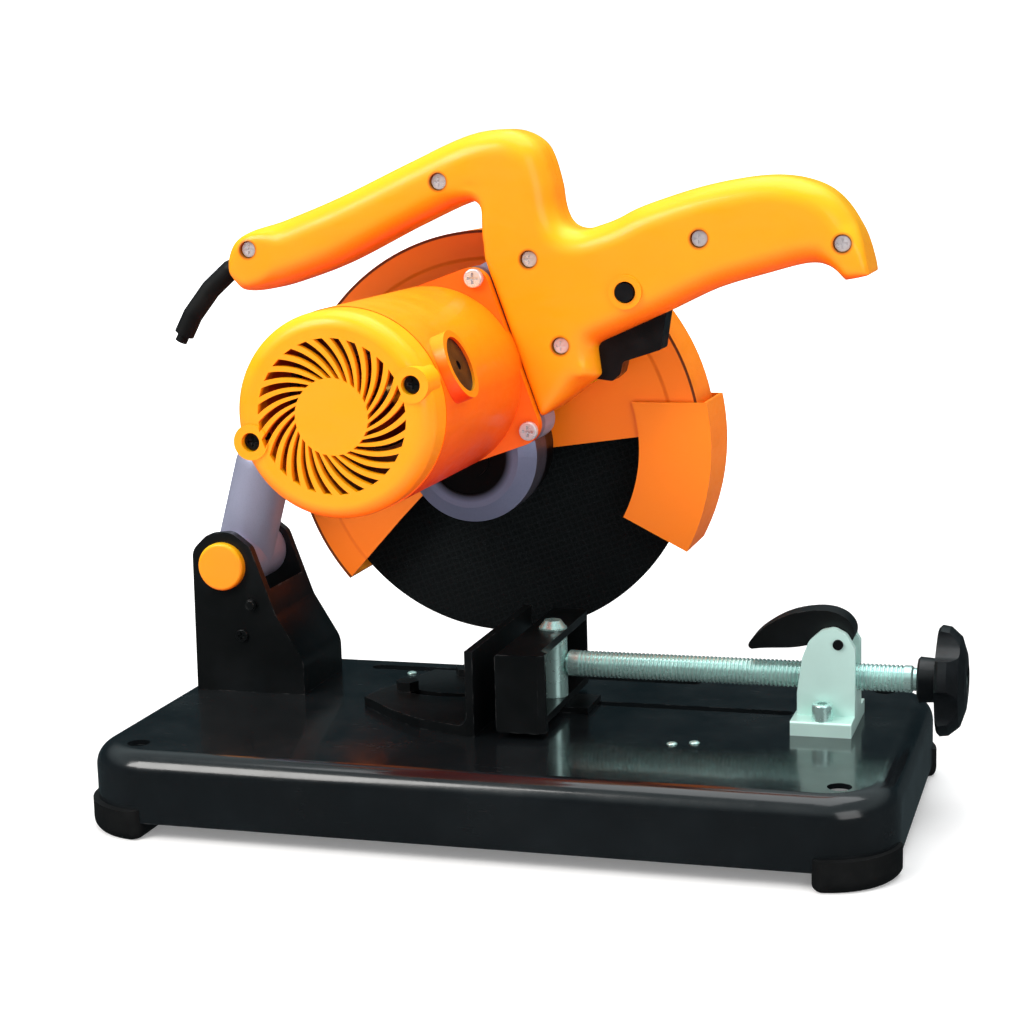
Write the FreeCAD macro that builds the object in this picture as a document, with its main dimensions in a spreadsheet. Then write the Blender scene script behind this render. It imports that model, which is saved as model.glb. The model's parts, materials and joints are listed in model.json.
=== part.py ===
import FreeCAD, Part
import math
import os

import Sketcher

# A small abrasive chop saw: a pressed base with a quick-release vice, and a swinging arm that
# carries the motor, gear case, abrasive wheel, guards and a two-shell handle.
# Frame: origin on the floor under the middle of the base, +Z up, +X (front) towards the operator
# and the vice knob, -Y towards the motor end. "Near" is the low Y side, "far" the high Y side.
# Millimetres and degrees.

DIMS = {
    # pressed steel base
    "base_len": 388, "base_wid": 205, "base_top": 41, "base_low": 8,
    "base_corner": 34, "base_edge": 11, "sheet_thick": 2.5,
    "hole_dx": 168.5, "hole_dy": 81.5, "hole_dia": 11,
    # rubber feet: "out" and "end" are the overhangs past the base in Y and X
    "foot_len": 35, "foot_wid": 33, "foot_out": 4, "foot_end": 1.6, "foot_high": 14.5,
    "foot_hole_r": 6.5,
    # pivot
    "pivot_x": -165, "pivot_z": 108, "pivot_pin_r": 6, "ear_near": 17, "ear_far": 71,
    "ear_thick": 5, "pivot_cap_r": 12.5,
    # spindle, wheel and guards
    "spindle_x": -30.5, "spindle_z": 167.5, "wheel_y": 80, "wheel_r": 102.5,
    "wheel_thick": 2.4, "bore_r": 11.1,
    "guard_r": 110, "guard_thick": 1.6, "guard_near": 62, "guard_far": 98,
    "spark_r": 115, "spark_inner_r": 78,
    # motor
    "motor_x": -46.9, "motor_z": 206.16, "motor_r": 46.5, "motor_wall": 3, "flange_y": 20,
    "tube_end_y": -100, "cap_end_y": -120, "flange_side": 91,
    # gears
    "gear_module": 1.5, "pinion_teeth": 17, "gear_teeth": 39,
    # handle: split plane and far face
    "hand_mid": 38, "hand_far": 58,
    # vice
    "screw_y": 17, "screw_z": 65, "screw_r": 6.5, "screw_pitch": 2.0, "knob_r": 26.5,
    "jaw_face": -1, "fence_face": -12, "bracket_x": 134.5, "bracket_len": 29,
    "bracket_foot": 7,
    # ordinary clearance
    "run_fit": 0.05,
}

os.makedirs("parts", exist_ok=True)
V = FreeCAD.Vector
doc = FreeCAD.newDocument("chop_saw")
table = doc.addObject("Spreadsheet::Sheet", "dims")
for row, (alias, size) in enumerate(DIMS.items(), start=1):
    table.set("A%d" % row, alias)
    table.set("B%d" % row, repr(float(size)))
    table.setAlias("B%d" % row, alias)
doc.recompute()


# ---------------------------------------------------------------------------
# Numbers driven by the spreadsheet
# ---------------------------------------------------------------------------
OPERATIONS = {
    "+": lambda left, right: left + right,
    "-": lambda left, right: left - right,
    "*": lambda left, right: left * right,
    "/": lambda left, right: left / right,
}


class Driven:
    """A number that remembers the spreadsheet formula it came from."""

    def __init__(self, value, formula):
        self.value = float(value)
        self.formula = formula

    def _join(self, other, sign, flip=False):
        if not isinstance(other, Driven):
            other = Driven(other, "%.6f" % float(other))
        left, right = (other, self) if flip else (self, other)
        value = OPERATIONS[sign](left.value, right.value)
        return Driven(value, "(%s %s %s)" % (left.formula, sign, right.formula))

    def __add__(self, other): return self._join(other, "+")
    def __radd__(self, other): return self._join(other, "+", True)
    def __sub__(self, other): return self._join(other, "-")
    def __rsub__(self, other): return self._join(other, "-", True)
    def __mul__(self, other): return self._join(other, "*")
    def __rmul__(self, other): return self._join(other, "*", True)
    def __truediv__(self, other): return self._join(other, "/")
    def __neg__(self): return Driven(-self.value, "(-1 * %s)" % self.formula)


class Dimensions:
    """Gives each spreadsheet dimension as a driven number: dim.base_len."""

    def __getattr__(self, name):
        return Driven(DIMS[name], "dims." + name)


dim = Dimensions()


def num(size):
    return size.value if isinstance(size, Driven) else float(size)


def bind(obj, prop, size):
    """Give a property its value, driven by the spreadsheet when it can be."""
    setattr(obj, prop, num(size))
    if isinstance(size, Driven):
        obj.setExpression(prop, size.formula)


def bind_base(obj, prop, x, y, z):
    """Drive the base point of a placement property where its parts are driven."""
    for axis, size in (("x", x), ("y", y), ("z", z)):
        if isinstance(size, Driven):
            obj.setExpression(".%s.Base.%s" % (prop, axis), size.formula)


made = 0


def fresh(stem):
    """A new numbered object name."""
    global made
    made += 1
    return "%s_%03d" % (stem, made)


def polar_point(angle, radius):
    return radius * math.cos(math.radians(angle)), radius * math.sin(math.radians(angle))


# ---------------------------------------------------------------------------
# Primitive solids and booleans
# ---------------------------------------------------------------------------
# Rotations that lay a primitive's own +Z along the named axis.
TURN = {"x": FreeCAD.Rotation(V(0, 1, 0), 90), "y": FreeCAD.Rotation(V(1, 0, 0), -90),
        "z": FreeCAD.Rotation()}


def primitive(kind, x, y, z, axis, **sizes):
    obj = doc.addObject("Part::" + kind, fresh(kind.lower()))
    for prop, size in sizes.items():
        bind(obj, prop, size)
    obj.Placement = FreeCAD.Placement(V(num(x), num(y), num(z)), TURN[axis])
    bind_base(obj, "Placement", x, y, z)
    return obj


def cylinder(r, length, x, y, z, axis="z"):
    return primitive("Cylinder", x, y, z, axis, Radius=r, Height=length)


def y_cyl(r, length, y, centre):
    """Cylinder along +Y from y, about the point centre = (x, z)."""
    return cylinder(r, length, centre[0], y, centre[1], "y")


def cone(r1, r2, length, x, y, z, axis="z"):
    return primitive("Cone", x, y, z, axis, Radius1=r1, Radius2=r2, Height=length)


def y_cone(r1, r2, length, y, centre):
    return cone(r1, r2, length, centre[0], y, centre[1], "y")


def box(len_x, len_y, len_z, x, y, z):
    return primitive("Box", x, y, z, "z", Length=len_x, Width=len_y, Height=len_z)


def hexagon(r, length, x, y, z, axis="z"):
    """Six-sided prism; r reaches its corners."""
    obj = primitive("Prism", x, y, z, axis, Circumradius=r, Height=length)
    obj.Polygon = 6
    return obj


def rod(start, end, r):
    """Cylinder between two points."""
    span = V(*end) - V(*start)
    obj = doc.addObject("Part::Cylinder", fresh("rod"))
    bind(obj, "Radius", r)
    obj.Height = span.Length
    obj.Placement = FreeCAD.Placement(V(*start), FreeCAD.Rotation(V(0, 0, 1), span))
    return obj


def ball(centre, r):
    obj = doc.addObject("Part::Sphere", fresh("ball"))
    bind(obj, "Radius", r)
    obj.Placement = FreeCAD.Placement(V(*centre), FreeCAD.Rotation())
    return obj


def bent_bar(points, r):
    """Round bar through the points, with a ball at each bend."""
    return fuse(*[rod(start, end, r) for start, end in zip(points[:-1], points[1:])],
                *[ball(point, r) for point in points[1:-1]])


def fuse(*objs):
    if len(objs) == 1:
        return objs[0]
    obj = doc.addObject("Part::MultiFuse", fresh("fuse"))
    obj.Shapes = list(objs)
    obj.Refine = True
    return obj


def cut(base, *tools):
    tool = fuse(*tools)
    obj = doc.addObject("Part::Cut", fresh("cut"))
    obj.Base = base
    obj.Tool = tool
    obj.Refine = True
    return obj


def common(first, second):
    obj = doc.addObject("Part::MultiCommon", fresh("common"))
    obj.Shapes = [first, second]
    return obj


def group(*objs):
    obj = doc.addObject("Part::Compound", fresh("set"))
    obj.Links = list(objs)
    return obj


def mirror(source, nx, ny, nz):
    obj = doc.addObject("Part::Mirroring", fresh("mirror"))
    obj.Source = source
    obj.Normal = V(nx, ny, nz)
    return obj


# ---------------------------------------------------------------------------
# Edge selectors and fillets on Part objects
# ---------------------------------------------------------------------------
def runs(edge, along):
    """True for an edge whose two ends differ along one axis only."""
    if len(edge.Vertexes) != 2:
        return False
    span = edge.Vertexes[1].Point - edge.Vertexes[0].Point
    return all(abs(getattr(span, axis)) > 0.1 if axis == along
               else abs(getattr(span, axis)) < 1e-6 for axis in "xyz")


def y_edge(test):
    """Selector of edges along Y whose x, z pass the test."""
    return lambda edge: runs(edge, "y") and test(edge.Vertexes[0].X, edge.Vertexes[0].Z)


def in_plane(axis, level, tol=1e-4):
    """Selector of edges that lie in the plane axis = level."""
    def pick(edge):
        low = getattr(edge.BoundBox, axis.upper() + "Min")
        high = getattr(edge.BoundBox, axis.upper() + "Max")
        return abs(low - num(level)) < tol and abs(high - num(level)) < tol
    return pick


def picked(obj, pick):
    """Numbers of the edges the selector accepts."""
    doc.recompute()
    numbers = [i for i, edge in enumerate(obj.Shape.Edges, start=1) if pick(edge)]
    if not numbers:
        raise RuntimeError("no edge picked on " + obj.Name)
    return numbers


def round_edges(base, radius, pick):
    numbers = picked(base, pick)
    obj = doc.addObject("Part::Fillet", fresh("round"))
    obj.Base = base
    obj.Edges = [(i, radius, radius) for i in numbers]
    return obj


# ---------------------------------------------------------------------------
# Sketch-based bodies
# ---------------------------------------------------------------------------
class Body:
    """A PartDesign body with short-hands for its sketches and features."""

    def __init__(self, name):
        self.obj = doc.addObject("PartDesign::Body", name)
        self.planes = {}

    def origin(self, role):
        return next(item for item in self.obj.Origin.OriginFeatures if item.Role == role)

    def sketch(self, plane, level=0, x=0, y=0):
        """Sketch on an origin plane; level is measured along +Z, +Y or +X."""
        sketch = self.obj.newObject("Sketcher::SketchObject", fresh("sk"))
        sketch.AttachmentSupport = [(self.origin(plane.upper() + "_Plane"), "")]
        sketch.MapMode = "FlatFace"
        # the XZ plane faces -Y
        lift = -level if plane == "xz" else level
        sketch.AttachmentOffset = FreeCAD.Placement(V(num(x), num(y), num(lift)),
                                                    FreeCAD.Rotation())
        bind_base(sketch, "AttachmentOffset", x, y, lift)
        self.planes[sketch.Name] = plane
        return sketch

    def discs(self, level, centre, *circles):
        """XZ sketch about centre = (x, z), holding circles (x, z, radius)."""
        sketch = self.sketch("xz", level, *centre)
        for x, z, r in circles:
            circle(sketch, x, z, r)
        return sketch

    def feature(self, kind, sketch, length, reverse):
        obj = self.obj.newObject("PartDesign::" + kind, fresh(kind.lower()))
        obj.Profile = sketch
        bind(obj, "Length", length)
        obj.Reversed = reverse
        return obj

    def pad(self, sketch, length):
        """Pad towards the plus side of the sketch's plane."""
        return self.feature("Pad", sketch, length, self.planes[sketch.Name] == "xz")

    def pocket(self, sketch, length, minus=False):
        """Cut towards the plus side of the sketch's plane, or the minus side."""
        on_xz = self.planes[sketch.Name] == "xz"
        return self.feature("Pocket", sketch, length, on_xz == minus)

    def fillet(self, radius, pick):
        names = ["Edge%d" % i for i in picked(self.obj.Tip, pick)] if self.settle() else []
        obj = self.obj.newObject("PartDesign::Fillet", fresh("edge"))
        obj.Base = (self.obj.Tip if not names else self.last, names)
        bind(obj, "Radius", radius)
        return obj

    def settle(self):
        """Recompute and remember the tip that the next fillet works on."""
        doc.recompute()
        self.last = self.obj.Tip
        return True

    def polar(self, feature, sketch, count):
        """Repeat a feature round the origin of its sketch."""
        doc.recompute()
        obj = self.obj.newObject("PartDesign::PolarPattern", fresh("polar"))
        obj.Originals = [feature]
        obj.Axis = (sketch, ["N_Axis"])
        obj.Angle = 360
        obj.Occurrences = count
        self.obj.Tip = obj


def hold(sketch, size, *constraint):
    """Add a sized constraint, driven by the spreadsheet when it can be."""
    index = sketch.addConstraint(Sketcher.Constraint(*constraint, num(size)))
    if isinstance(size, Driven):
        sketch.setExpression("Constraints[%d]" % index, size.formula)


def pin_point(sketch, geometry, end, x, y):
    """Hold a sketch point at x, y from the sketch origin."""
    for kind, size, axis in (("DistanceX", x, -2), ("DistanceY", y, -1)):
        if abs(num(size)) < 1e-9:
            sketch.addConstraint(Sketcher.Constraint("PointOnObject", geometry, end, axis))
        else:
            hold(sketch, size, kind, -1, 1, geometry, end)


def line(sketch, start, end, construction=False):
    sketch.addGeometry(Part.LineSegment(V(num(start[0]), num(start[1]), 0),
                                        V(num(end[0]), num(end[1]), 0)), construction)


def arc(sketch, x, y, r, start, end):
    """Arc between two angles in radians."""
    whole = Part.Circle(V(x, y, 0), V(0, 0, 1), r)
    sketch.addGeometry(Part.ArcOfCircle(whole, start, end), False)


def join_ends(sketch, first, count):
    for i in range(count):
        sketch.addConstraint(Sketcher.Constraint("Coincident", first + i, 2,
                                                 first + (i + 1) % count, 1))


def poly(sketch, points):
    """Closed polygon, every corner located."""
    first = sketch.GeometryCount
    for start, end in zip(points, points[1:] + points[:1]):
        line(sketch, start, end)
    join_ends(sketch, first, len(points))
    for i, point in enumerate(points):
        pin_point(sketch, first + i, 1, *point)


def rect(sketch, x0, y0, x1, y1):
    poly(sketch, [(x0, y0), (x1, y0), (x1, y1), (x0, y1)])


def round_rect(sketch, x0, y0, x1, y1, corner):
    """Rectangle with four tangent corner arcs."""
    first = sketch.GeometryCount
    left, low, right, high, r = [num(size) for size in (x0, y0, x1, y1, corner)]
    quarter = 0.5 * math.pi
    # each side: start, end, centre of the corner after it, start of that corner's arc
    for start, end, centre, turn in (
            ((left + r, low), (right - r, low), (right - r, low + r), 3 * quarter),
            ((right, low + r), (right, high - r), (right - r, high - r), 0.0),
            ((right - r, high), (left + r, high), (left + r, high - r), quarter),
            ((left, high - r), (left, low + r), (left + r, low + r), 2 * quarter)):
        line(sketch, start, end)
        arc(sketch, centre[0], centre[1], r, turn, turn + quarter)
    for i in range(8):
        sketch.addConstraint(Sketcher.Constraint("Tangent", first + i, 2,
                                                 first + (i + 1) % 8, 1))
    for i, direction, distance, size in (
            (0, "Horizontal", "DistanceY", y0), (2, "Vertical", "DistanceX", x1),
            (4, "Horizontal", "DistanceY", y1), (6, "Vertical", "DistanceX", x0)):
        sketch.addConstraint(Sketcher.Constraint(direction, first + i))
        hold(sketch, size, distance, -1, 1, first + i, 1)
    for i in (1, 3, 5, 7):
        hold(sketch, corner, "Radius", first + i)


def circle(sketch, x, y, r):
    index = sketch.GeometryCount
    sketch.addGeometry(Part.Circle(V(num(x), num(y), 0), V(0, 0, 1), num(r)), False)
    pin_point(sketch, index, 3, x, y)
    hold(sketch, r, "Radius", index)


def path(sketch, pieces):
    """Closed loop of lines (two points) and interpolated curves (more points)."""
    first = sketch.GeometryCount
    for points in pieces:
        if len(points) == 2:
            line(sketch, *points)
        else:
            curve = Part.BSplineCurve()
            curve.interpolate([V(num(x), num(y), 0) for x, y in points])
            sketch.addGeometry(curve, False)
    join_ends(sketch, first, len(pieces))


def band(first, second):
    """Pieces of a loop between two curves, given as point lists, first run forwards
    and second run backwards."""
    return [first, [first[-1], second[0]], second, [second[-1], first[0]]]


def rounded_slab(name, z, x0, y0, x1, y1, corner, height):
    body = Body(name)
    sketch = body.sketch("xy", z)
    round_rect(sketch, x0, y0, x1, y1, corner)
    body.pad(sketch, height)
    return body


# ---------------------------------------------------------------------------
# Pieces and fasteners
# ---------------------------------------------------------------------------
PIECES = {}


def piece(build):
    """Build a piece and label it with the name of its function."""
    obj = build()
    obj.Label = build.__name__
    PIECES[build.__name__] = obj
    return obj


def bolt(x, y, z, shank_r, shank_len, head_r, head_h, axis="z", drive="hex", flip=False):
    """Head standing on (x, y, z) towards plus axis, or minus with flip; shank opposite."""
    sign = -1 if flip else 1
    index = "xyz".index(axis)

    def along(distance):
        point = [x, y, z]
        point[index] += sign * distance
        return point

    def place(maker, r, length, distance):
        return maker(r, length, *along(distance + length if flip else distance), axis)

    shank = place(cylinder, shank_r, shank_len, -shank_len)
    if drive == "hex":
        return fuse(place(hexagon, head_r, head_h, 0), shank)
    head = round_edges(place(cylinder, head_r, head_h, 0), min(0.25 * head_h, 1.2),
                       in_plane(axis, along(head_h)[index], 1e-2))
    solid = fuse(head, shank)
    if drive == "socket":
        return cut(solid, place(hexagon, head_r * 0.55, head_h * 0.6, head_h * 0.4 + 0.01))
    # cross recess: two crossed boxes
    long, narrow, depth = head_r * 1.2, head_r * 0.3, head_h * 0.5
    centre = along(head_h - depth / 2 + 0.01)
    bars = []
    for spans in ((long, narrow), (narrow, long)):
        sizes = list(spans)
        sizes.insert(index, depth)
        bars.append(box(*sizes, *[mid - size / 2 for mid, size in zip(centre, sizes)]))
    return cut(solid, *bars)


# ---------------------------------------------------------------------------
# Base: a pressed sheet tray with rounded corners and a rolled top edge,
# open underneath, slotted for the wheel and for the vice jaw.
# ---------------------------------------------------------------------------
TOP = dim.base_top
HALF_LEN, HALF_WID = dim.base_len / 2, dim.base_wid / 2
SKIRT_X, SKIRT_Y = HALF_LEN - dim.sheet_thick, HALF_WID - dim.sheet_thick
SKIRT_CORNER = dim.base_corner - dim.sheet_thick

# bolt centres (x, y) on the base
BRACKET_BOLTS = ((-152, 30), (-152, 58))
FENCE_PIVOT = (-46, 55)
FENCE_CLAMP = (-66.5, 19.5)
VICE_BOLTS = ((149, -1.6), (149, 35.6))


@piece
def base_plate():
    body = Body("BasePlate")
    sketch = body.sketch("xy", dim.base_low)
    rect(sketch, -HALF_LEN, -HALF_WID, HALF_LEN, HALF_WID)
    body.pad(sketch, TOP - dim.base_low)
    body.fillet(dim.base_corner, lambda edge: runs(edge, "z"))
    sketch = body.sketch("xy", dim.base_low)
    round_rect(sketch, -SKIRT_X, -SKIRT_Y, SKIRT_X, SKIRT_Y, SKIRT_CORNER)
    body.pocket(sketch, TOP - dim.base_low - dim.sheet_thick)
    body.fillet(dim.base_edge - dim.sheet_thick, in_plane("z", TOP - dim.sheet_thick))
    body.fillet(dim.base_edge, in_plane("z", TOP))
    sketch = body.sketch("xy", TOP)
    for side_x in (-1, 1):
        for side_y in (-1, 1):
            circle(sketch, side_x * dim.hole_dx, side_y * dim.hole_dy, dim.hole_dia / 2)
    for x, y in (*BRACKET_BOLTS, FENCE_PIVOT, FENCE_CLAMP, *VICE_BOLTS):
        circle(sketch, x, y, 3.3)
    round_rect(sketch, -108, dim.wheel_y - 4.5, 74, dim.wheel_y + 4.5, 4.3)
    round_rect(sketch, 18, 27, 130, 35, 3.8)
    body.pocket(sketch, 8, minus=True)
    return body.obj


@piece
def rubber_feet():
    """Blocks wrapped round the four corners, grooved for the skirt, with a
    clearance hole under each corner hole so that a bench bolt can pass."""
    end_x, end_y = HALF_LEN + dim.foot_end, HALF_WID + dim.foot_out
    block = rounded_slab("Foot", 0, HALF_LEN - dim.foot_len, HALF_WID - dim.foot_wid,
                         end_x, end_y, 7, dim.foot_high)
    block.fillet(3, in_plane("z", 0))
    trim = rounded_slab("FootTrim", -1, -end_x, -end_y, end_x, end_y,
                        dim.base_corner + dim.foot_end, 60)
    trim.fillet(6, in_plane("z", -1))
    # the groove is a little wider than the skirt on both faces
    outer, inner = 0.02, 0.1
    groove = rounded_slab("SkirtGroove", dim.base_low, -HALF_LEN - outer, -HALF_WID - outer,
                          HALF_LEN + outer, HALF_WID + outer, dim.base_corner + outer, 40)
    sketch = groove.sketch("xy", dim.base_low)
    round_rect(sketch, -SKIRT_X + inner, -SKIRT_Y + inner, SKIRT_X - inner, SKIRT_Y - inner,
               SKIRT_CORNER - inner)
    groove.pocket(sketch, 40)
    foot = cut(common(block.obj, trim.obj), groove.obj,
               cylinder(dim.foot_hole_r, 30, dim.hole_dx, dim.hole_dy, -5))
    rear = mirror(foot, 1, 0, 0)
    return group(foot, rear, mirror(foot, 0, 1, 0), mirror(rear, 0, 1, 0))


# ---------------------------------------------------------------------------
# Pivot bracket: two ears, a front web and a floor, with its pin and small parts.
# ---------------------------------------------------------------------------
PIVOT = (dim.pivot_x, dim.pivot_z)
LOCK_PIN = (-149.8, 88.2)       # x, z
STOP_BOLT = (-156, 71.3)        # x, z

# side outline of the bracket and of the space between its ears: x, z
EAR = [(-183, 41), (-122.5, 41), (-122.5, 59), (-137, 83),
       (-149.5, 118), (-160, 126), (-173, 124.5), (-182, 116)]
EAR_SPACE = [(-190, 46), (-127, 46), (-127, 58), (-141.5, 84), (-141.5, 140), (-190, 140)]


@piece
def pivot_bracket():
    body = Body("PivotBracket")
    sketch = body.sketch("xz", dim.ear_near)
    poly(sketch, EAR)
    body.pad(sketch, dim.ear_far - dim.ear_near)
    body.fillet(9, y_edge(lambda x, z: z > 112 and x < -155))
    body.fillet(6, y_edge(lambda x, z: z > 112 and x > -155))
    body.fillet(14, y_edge(lambda x, z: 50 < z < 90 and x > -140))
    sketch = body.sketch("xz", dim.ear_near + dim.ear_thick)
    poly(sketch, EAR_SPACE)
    body.pocket(sketch, dim.ear_far - dim.ear_near - 2 * dim.ear_thick)
    sketch = body.sketch("xz", dim.ear_near - 1)
    circle(sketch, *PIVOT, dim.pivot_pin_r + 0.03)
    body.pocket(sketch, 70)
    sketch = body.sketch("xz", dim.ear_near - 1)
    circle(sketch, *LOCK_PIN, 2.25)
    circle(sketch, *STOP_BOLT, 2.25)
    body.pocket(sketch, 8)
    sketch = body.sketch("xy", 50)
    for x, y in BRACKET_BOLTS:
        circle(sketch, x, y, 3.2)
    body.pocket(sketch, 12, minus=True)
    return body.obj


@piece
def bracket_bolts():
    return group(*[bolt(x, y, 46, 3, 14, 6, 4.5) for x, y in BRACKET_BOLTS])


@piece
def pivot_pin():
    return y_cyl(dim.pivot_pin_r, dim.ear_far - dim.ear_near + 2, dim.ear_near - 1, PIVOT)


def dome_cap(ear_y, sign):
    """Cap on an ear's outer face, domed on the side that sign points to."""
    height = 4.4
    cap = y_cyl(dim.pivot_cap_r, height, ear_y if sign > 0 else ear_y - height, PIVOT)
    cap = round_edges(cap, 1.8, in_plane("y", ear_y + sign * height, 1e-3))
    return cut(cap, y_cyl(dim.pivot_pin_r + 0.02, 2.2, ear_y - 1.1, PIVOT))


@piece
def pivot_caps():
    return group(dome_cap(dim.ear_near.value, -1), dome_cap(dim.ear_far.value, 1))


@piece
def transport_lock_pin():
    return fuse(y_cyl(2.2, 11, 14, LOCK_PIN), y_cyl(2.9, 2.4, 14.58, LOCK_PIN))


@piece
def stop_bolt():
    x, z = STOP_BOLT
    return bolt(x, 16.99, z, 2.2, 11, 3.3, 1.6, axis="y", drive="cross", flip=True)


# ---------------------------------------------------------------------------
# Vice: fixed fence that swivels, moving jaw, screw, quick-release bracket.
# ---------------------------------------------------------------------------
SCREW_Y, SCREW_Z, SCREW_R = dim.screw_y, dim.screw_z, dim.screw_r
JAW_X = 12.2                    # axis of the jaw bolt
KNOB_X = 192                    # rear end of the knob
BRACKET_X = dim.bracket_x
LEVER_PIN = (155.6, 83.2)       # x, z

# plan outlines: x, y
FENCE_FOOT = [(dim.fence_face, -40), (dim.fence_face, 62), (-66, 62), (-80, 20),
              (-84, 3), (-62, -18), (-43, -31), (-16, -40)]
JAW_PLAN = [(dim.jaw_face, -40), (20, -40), (23, -37), (23, -33),
            (19, -29), (19, 58), (16, 62), (dim.jaw_face, 62)]

# turned parts: x, radius about the screw axis
SCREW_PROFILE = [(15.8, 0), (15.8, 3.5), (19.9, 3.5), (19.9, SCREW_R - 1), (20.9, SCREW_R),
                 (189, SCREW_R), (190, SCREW_R - 1), (191.9, SCREW_R - 1), (191.9, 4),
                 (214.4, 4), (214.4, 0)]
THREAD_GROOVE = [(26.05, SCREW_R + 0.3), (26.9, SCREW_R - 0.65),
                 (27.1, SCREW_R - 0.65), (27.95, SCREW_R + 0.3)]
KNOB_PROFILE = [(KNOB_X, 4.02), (KNOB_X, 10), (KNOB_X + 1, 11), (KNOB_X + 8, 10.5),
                (KNOB_X + 9.5, dim.knob_r - 1.5), (KNOB_X + 11, dim.knob_r),
                (KNOB_X + 15, dim.knob_r - 0.6), (KNOB_X + 20, dim.knob_r - 5),
                (KNOB_X + 22.5, 14), (KNOB_X + 23.2, 8), (KNOB_X + 17.5, 7.5),
                (KNOB_X + 17.5, 4.02)]

# side outlines: x, z
BRACKET_SIDE = [(BRACKET_X + 1.5, 44), (BRACKET_X + dim.bracket_len, 44),
                (BRACKET_X + dim.bracket_len, 81), (159.5, 88), (153.5, 91),
                (147.5, 89.5), (141.5, 84), (138.5, 76), (BRACKET_X + 1.5, 59)]
LEVER_SIDE = [
    [(113.4, 77.9), (111.7, 79.2), (112, 81.1)],
    [(112, 81.1), (116, 86), (120.8, 89.8), (130.2, 95), (140.8, 97.8),
     (153, 97.5), (159.5, 94), (162.5, 88.5), (161.5, 84), (158.7, 82.2)],
    [(158.7, 82.2), (157.1, 78.8), (153.5, 77.3), (149.7, 79), (148.1, 83.2)],
    [(148.1, 83.2), (144, 82), (134.2, 79.7), (124.7, 79), (113.4, 77.9)],
]


def at_x(level):
    """Selector of edges along Y at one x."""
    return y_edge(lambda x, z: abs(x - num(level)) < 1e-3)


@piece
def fence():
    """Foot plate and upright face, with a curved slot about the pivot bolt."""
    body = Body("Fence")
    sketch = body.sketch("xy", TOP)
    poly(sketch, FENCE_FOOT)
    body.pad(sketch, 5)
    sketch = body.sketch("xy", TOP)
    rect(sketch, dim.fence_face - 4, -40, dim.fence_face, 62)
    body.pad(sketch, 42)
    rear = (dim.fence_face - 4).value
    body.fillet(5, y_edge(lambda x, z: abs(x - rear) < 1e-3 and z < 50))
    sketch = body.sketch("xy", TOP)
    circle(sketch, *FENCE_PIVOT, 3.3)

    def slot_side(r, angles):
        centre_x, centre_y = FENCE_PIVOT
        return [(centre_x + x, centre_y + y)
                for x, y in (polar_point(angle, r) for angle in angles)]

    path(sketch, band(slot_side(44.4, range(235, 292, 8)),
                      slot_side(37.6, range(291, 234, -8))))
    body.pocket(sketch, 8)
    return body.obj


@piece
def fence_pivot_bolt():
    return bolt(*FENCE_PIVOT, 46, 3, 12, 6, 4)


@piece
def fence_clamp_bolt():
    return bolt(*FENCE_CLAMP, 46, 3, 12, 6, 5)


@piece
def vise_jaw():
    body = Body("Jaw")
    sketch = body.sketch("xy", 44.2)
    poly(sketch, JAW_PLAN)
    body.pad(sketch, 38)
    sketch = body.sketch("xz", -35)
    rect(sketch, dim.jaw_face + 5, 48, 40, 78.2)
    body.pocket(sketch, 92)
    sketch = body.sketch("xy", 40)
    circle(sketch, JAW_X, SCREW_Y, 2.56)
    body.pocket(sketch, 60)
    body.fillet(1.5, at_x(dim.jaw_face))
    return body.obj


@piece
def jaw_barrel():
    """Upright barrel on the jaw bolt, bored from +X for the screw's tip."""
    return cut(cylinder(7, 29.9, JAW_X, SCREW_Y, 48.15),
               cylinder(2.5 + dim.run_fit, 40, JAW_X, SCREW_Y, 44),
               cylinder(3.5 + dim.run_fit, 12, 15.4, SCREW_Y, SCREW_Z, "x"))


@piece
def jaw_slide_plate():
    plate = box(27, 26, 2.8, 4.2, 10, 41.2)
    slot_pin = cylinder(3.4, 8.2, 27, 31, 35.2)
    return cut(fuse(plate, slot_pin), cylinder(2.5, 10, JAW_X, SCREW_Y, 36))


@piece
def jaw_bolt():
    return fuse(cone(6.6, 4.2, 3.4, JAW_X, SCREW_Y, 83.2),
                cylinder(7, 0.9, JAW_X, SCREW_Y, 82.3),
                cylinder(2.5, 41.1, JAW_X, SCREW_Y, 41.3))


def turned(body, kind, stations):
    """Full revolution or groove of (x, radius) stations about the vice screw's axis."""
    sketch = body.sketch("xy", SCREW_Z)
    poly(sketch, [(x, SCREW_Y + r) for x, r in stations])
    line(sketch, (10, SCREW_Y), (230, SCREW_Y), construction=True)
    feature = body.obj.newObject("PartDesign::" + kind, fresh(kind.lower()))
    feature.Profile = sketch
    feature.ReferenceAxis = (sketch, ["Axis0"])
    feature.Angle = 360
    return feature


@piece
def vise_screw():
    """Turned bar with one ring groove per pitch in place of a helix."""
    body = Body("ViceScrew")
    turned(body, "Revolution", SCREW_PROFILE)
    groove = turned(body, "Groove", THREAD_GROOVE)
    pattern = body.obj.newObject("PartDesign::LinearPattern", fresh("pitch"))
    pattern.Originals = [groove]
    pattern.Direction = (body.origin("X_Axis"), [""])
    pattern.Mode = 1            # spacing between neighbours, not overall length
    pattern.Occurrences = 80
    pattern.setExpression("Offset", dim.screw_pitch.formula)
    body.obj.Tip = pattern
    return body.obj


@piece
def vise_knob():
    """Turned knob with five scallops in its rim."""
    body = Body("Knob")
    turned(body, "Revolution", KNOB_PROFILE)
    sketch = body.sketch("yz", KNOB_X + 8.6)
    for i in range(5):
        y, z = polar_point(90 + 36 + 72 * i, 34.5)
        circle(sketch, SCREW_Y + y, SCREW_Z + z, 13.5)
    body.pocket(sketch, 30)
    return body.obj


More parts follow.
